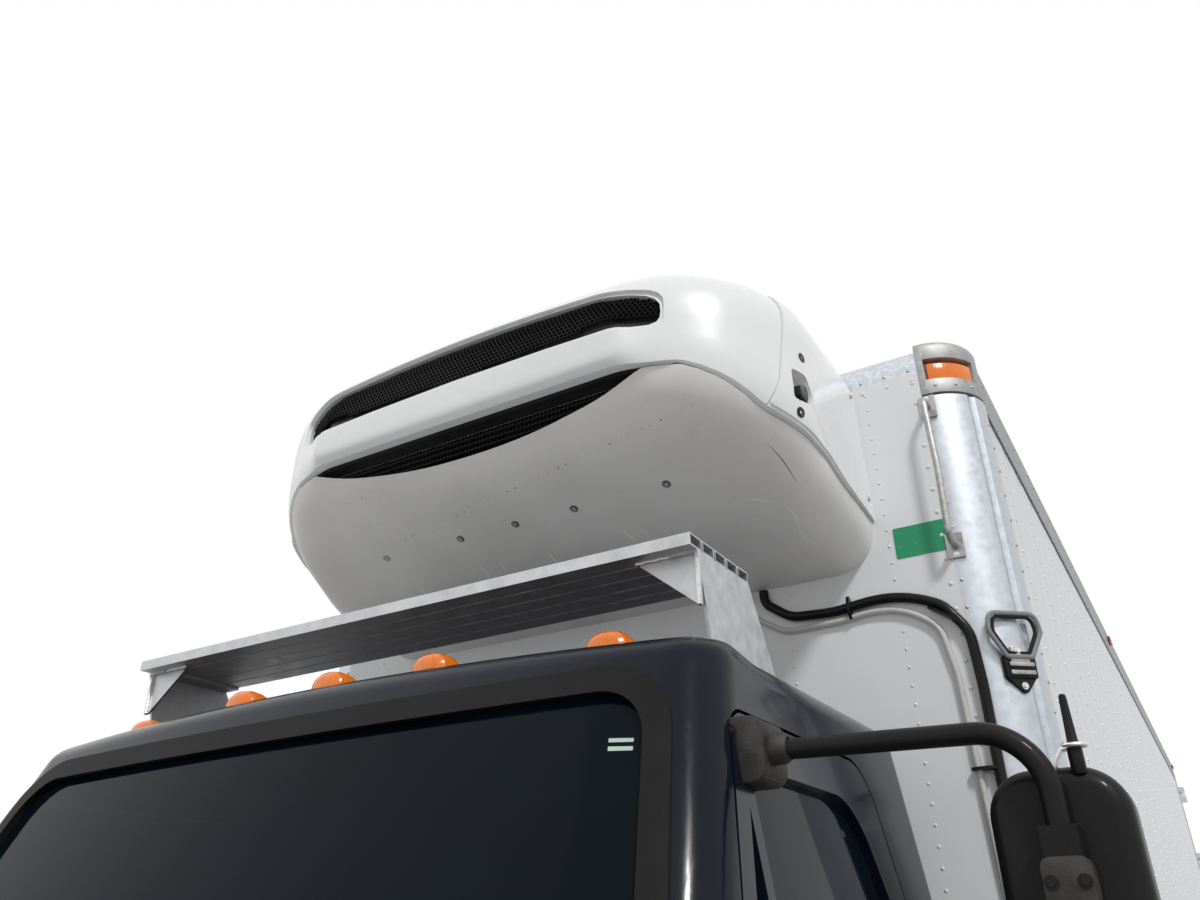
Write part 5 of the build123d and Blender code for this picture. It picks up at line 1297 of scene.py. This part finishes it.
front_nuts = merged([nut_ring(1.1705, front_y, 0.1425, 10, 0.0155, nut_stamp),
                     nut_ring(1.1825, front_y, 0.088, 6, 0.007, bolt_stamp)])
rear_nuts = merged([nut_ring(0.9230, rear_y, 0.1425, 10, 0.0155, nut_stamp),
                    nut_ring(1.0040, rear_y, 0.075, 8, 0.007, bolt_stamp)])
for side, turned_over in sides:
    put("front_nuts_" + side, turned_over(front_nuts), "fitting_steel", body="wheel_front_" + side)
    put("rear_nuts_" + side, turned_over(rear_nuts), "fitting_steel", body="wheel_rear_" + side)
print("ten nuts on each wheel")

# %% [markdown]
# ## Seats
# The seats are foam under woven cloth. The solid of each cushion is remeshed into small squares, blown up
# a little by a cloth simulation without gravity, and kept from moving further than foam would. Both seats
# are alike, so one is simulated and the other is its mirror image. The frame under the cushion is a plain
# moulded box.

# %% Padded seats
def inflate(mesh, voxel, reach):
    """Blows a closed shape up as stuffed cloth, with every point held within reach of where it was."""
    soft = held(mesh)
    remesh = soft.modifiers.new("squares", "REMESH")
    remesh.mode = "VOXEL"
    remesh.voxel_size = voxel
    grid = baked(soft)
    before = [v.co.copy() for v in grid.vertices]
    soft = held(grid)
    cloth = soft.modifiers.new("cloth", "CLOTH")
    cloth.settings.use_pressure = True
    cloth.settings.uniform_pressure_force = 4.0
    cloth.settings.effector_weights.gravity = 0.0
    scene = bpy.context.scene
    for step in range(1, 21):
        scene.frame_set(step)
    swollen = baked(soft)
    scene.frame_set(1)
    for vertex, old in zip(swollen.vertices, before):
        move = vertex.co - old
        if move.length > reach:
            vertex.co = old + move.normalized() * reach
    return swollen


seat_x, seat_front = 0.470, -3.834
padding = {
    # outline from the seat's front, half width, size of the squares, how far the cloth may move
    "cushion": ([(0.012, 1.392, 0.03), (0.012, 1.488, 0.045), (0.470, 1.474, 0.03), (0.470, 1.392, 0.03)],
                0.245, 0.010, 0.012),
    "back": ([(0.484, 1.480, 0.03), (0.543, 2.065, 0.05), (0.628, 2.065, 0.04), (0.590, 1.420, 0.03)],
             0.232, 0.010, 0.012),
    "headrest": ([(0.552, 2.100, 0.02), (0.566, 2.255, 0.035), (0.628, 2.255, 0.03), (0.632, 2.100, 0.02)],
                 0.130, 0.008, 0.006),
}
swollen_parts = {}
for part, (rows, half, voxel, reach) in padding.items():
    block = plate([(seat_front + y, z, r) for y, z, r in rows], "x", seat_x - half, seat_x + half, 6)
    swollen_parts[part] = inflate(block, voxel, reach)
seat_pieces = []
for part, mesh in swollen_parts.items():
    for side, turned_over in sides:
        piece = put("seat_" + part + "_" + side, turned_over(mesh), "seat_cloth")
        soften = piece.modifiers.new("soften", "SUBSURF")
        soften.levels = 1
        soften.render_levels = 1
        seat_pieces.append(piece)


def head_post(x):
    """A short round bar between the back and the headrest."""
    low, high = Vector((x, seat_front + 0.590, 2.03)), Vector((x, seat_front + 0.596, 2.14))
    along = (high - low).normalized()
    side = along.cross(Vector((0.31, 0.27, 0.91))).normalized()
    across = along.cross(side)
    round_bar = [(side * c + across * s) * 0.007 for c, s in circle(10)]
    return skinned([[place + point for point in round_bar] for place in (low, high)])


base_rows = four(seat_x - 0.190, seat_x + 0.190, seat_front + 0.06, seat_front + 0.48, 0.02)
base_box = plate(base_rows, "z", 1.1055, 1.3800)
seat_base = merged([base_box, head_post(seat_x - 0.06), head_post(seat_x + 0.06)])
put("seat_bases", on_both_sides(seat_base), "dash_plastic", bevel=0.004)
for piece in seat_pieces:
    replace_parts(piece, "seats")
print("cushion", len(swollen_parts["cushion"].polygons), "faces")

# %% [markdown]
# ## Camera
# The photograph was taken by a standing person beside the left front wheel who looked up past the cab's
# roof. The camera was solved from the edges of the body, so its place and angles are simply set.

# %% Camera
camera = linked("camera", bpy.data.cameras.new("camera"))
camera.data.sensor_width = 36
camera.data.lens = focal * camera.data.sensor_width / photo_width
camera.data.clip_end = 200
camera.matrix_world = Matrix.Translation(camera_spot) @ camera_turn
bpy.context.scene.camera = camera
print("lens", round(camera.data.lens, 1), "mm")

# %% [markdown]
# ## Light
# A soft sun stands high at the front left, as in the photograph, with a weaker one from the other side,
# and the world fills the shadows. The world is white where the camera or a reflection sees it, so that
# gloss has something bright to show, and greyer as a light, so that pale panels keep their tone.

# %% Suns, world and floor
def sun(name, toward, strength, spread):
    lamp = bpy.data.lights.new(name, "SUN")
    lamp.energy = strength
    lamp.angle = math.radians(spread)
    linked(name, lamp).rotation_euler = Vector(toward).to_track_quat("Z", "Y").to_euler()


sun("key", (0.55, -0.52, 0.78), 1.75, 8)
sun("fill", (-0.8, -0.25, 0.5), 0.22, 60)
world = bpy.data.worlds.new("studio")
bpy.context.scene.world = world
world.use_nodes = True
sky = world.node_tree
sky.nodes.clear()


def either(a, b):
    """1 where one of two sockets is 1."""
    larger = sky.nodes.new("ShaderNodeMath")
    larger.operation = "MAXIMUM"
    sky.links.new(a, larger.inputs[0])
    sky.links.new(b, larger.inputs[1])
    return larger.outputs[0]


rays = sky.nodes.new("ShaderNodeLightPath").outputs
direct = either(either(rays["Is Camera Ray"], rays["Is Glossy Ray"]), rays["Is Transmission Ray"])
strength = sky.nodes.new("ShaderNodeMapRange")
strength.inputs["To Min"].default_value = 0.42
sky.links.new(direct, strength.inputs[0])
backdrop = sky.nodes.new("ShaderNodeBackground")
sky.links.new(strength.outputs[0], backdrop.inputs["Strength"])
backdrop.inputs["Color"].default_value = (1, 1, 1, 1)
output = sky.nodes.new("ShaderNodeOutputWorld")
sky.links.new(backdrop.outputs[0], output.inputs[0])

floor_mesh = bpy.data.meshes.new("floor")
floor_size = 90
floor_corners = [(x * floor_size, y * floor_size, 0) for x, y in ((-1, -1), (1, -1), (1, 1), (-1, 1))]
floor_mesh.from_pydata(floor_corners, [], [(0, 1, 2, 3)])
floor = linked("floor", floor_mesh)
floor_mesh.materials.append(Finish("floor", Base_Color=(0.60, 0.60, 0.60, 1), Roughness=0.9).material)
bpy.context.scene.view_settings.view_transform = "Standard"
print("two suns, world and floor are set")
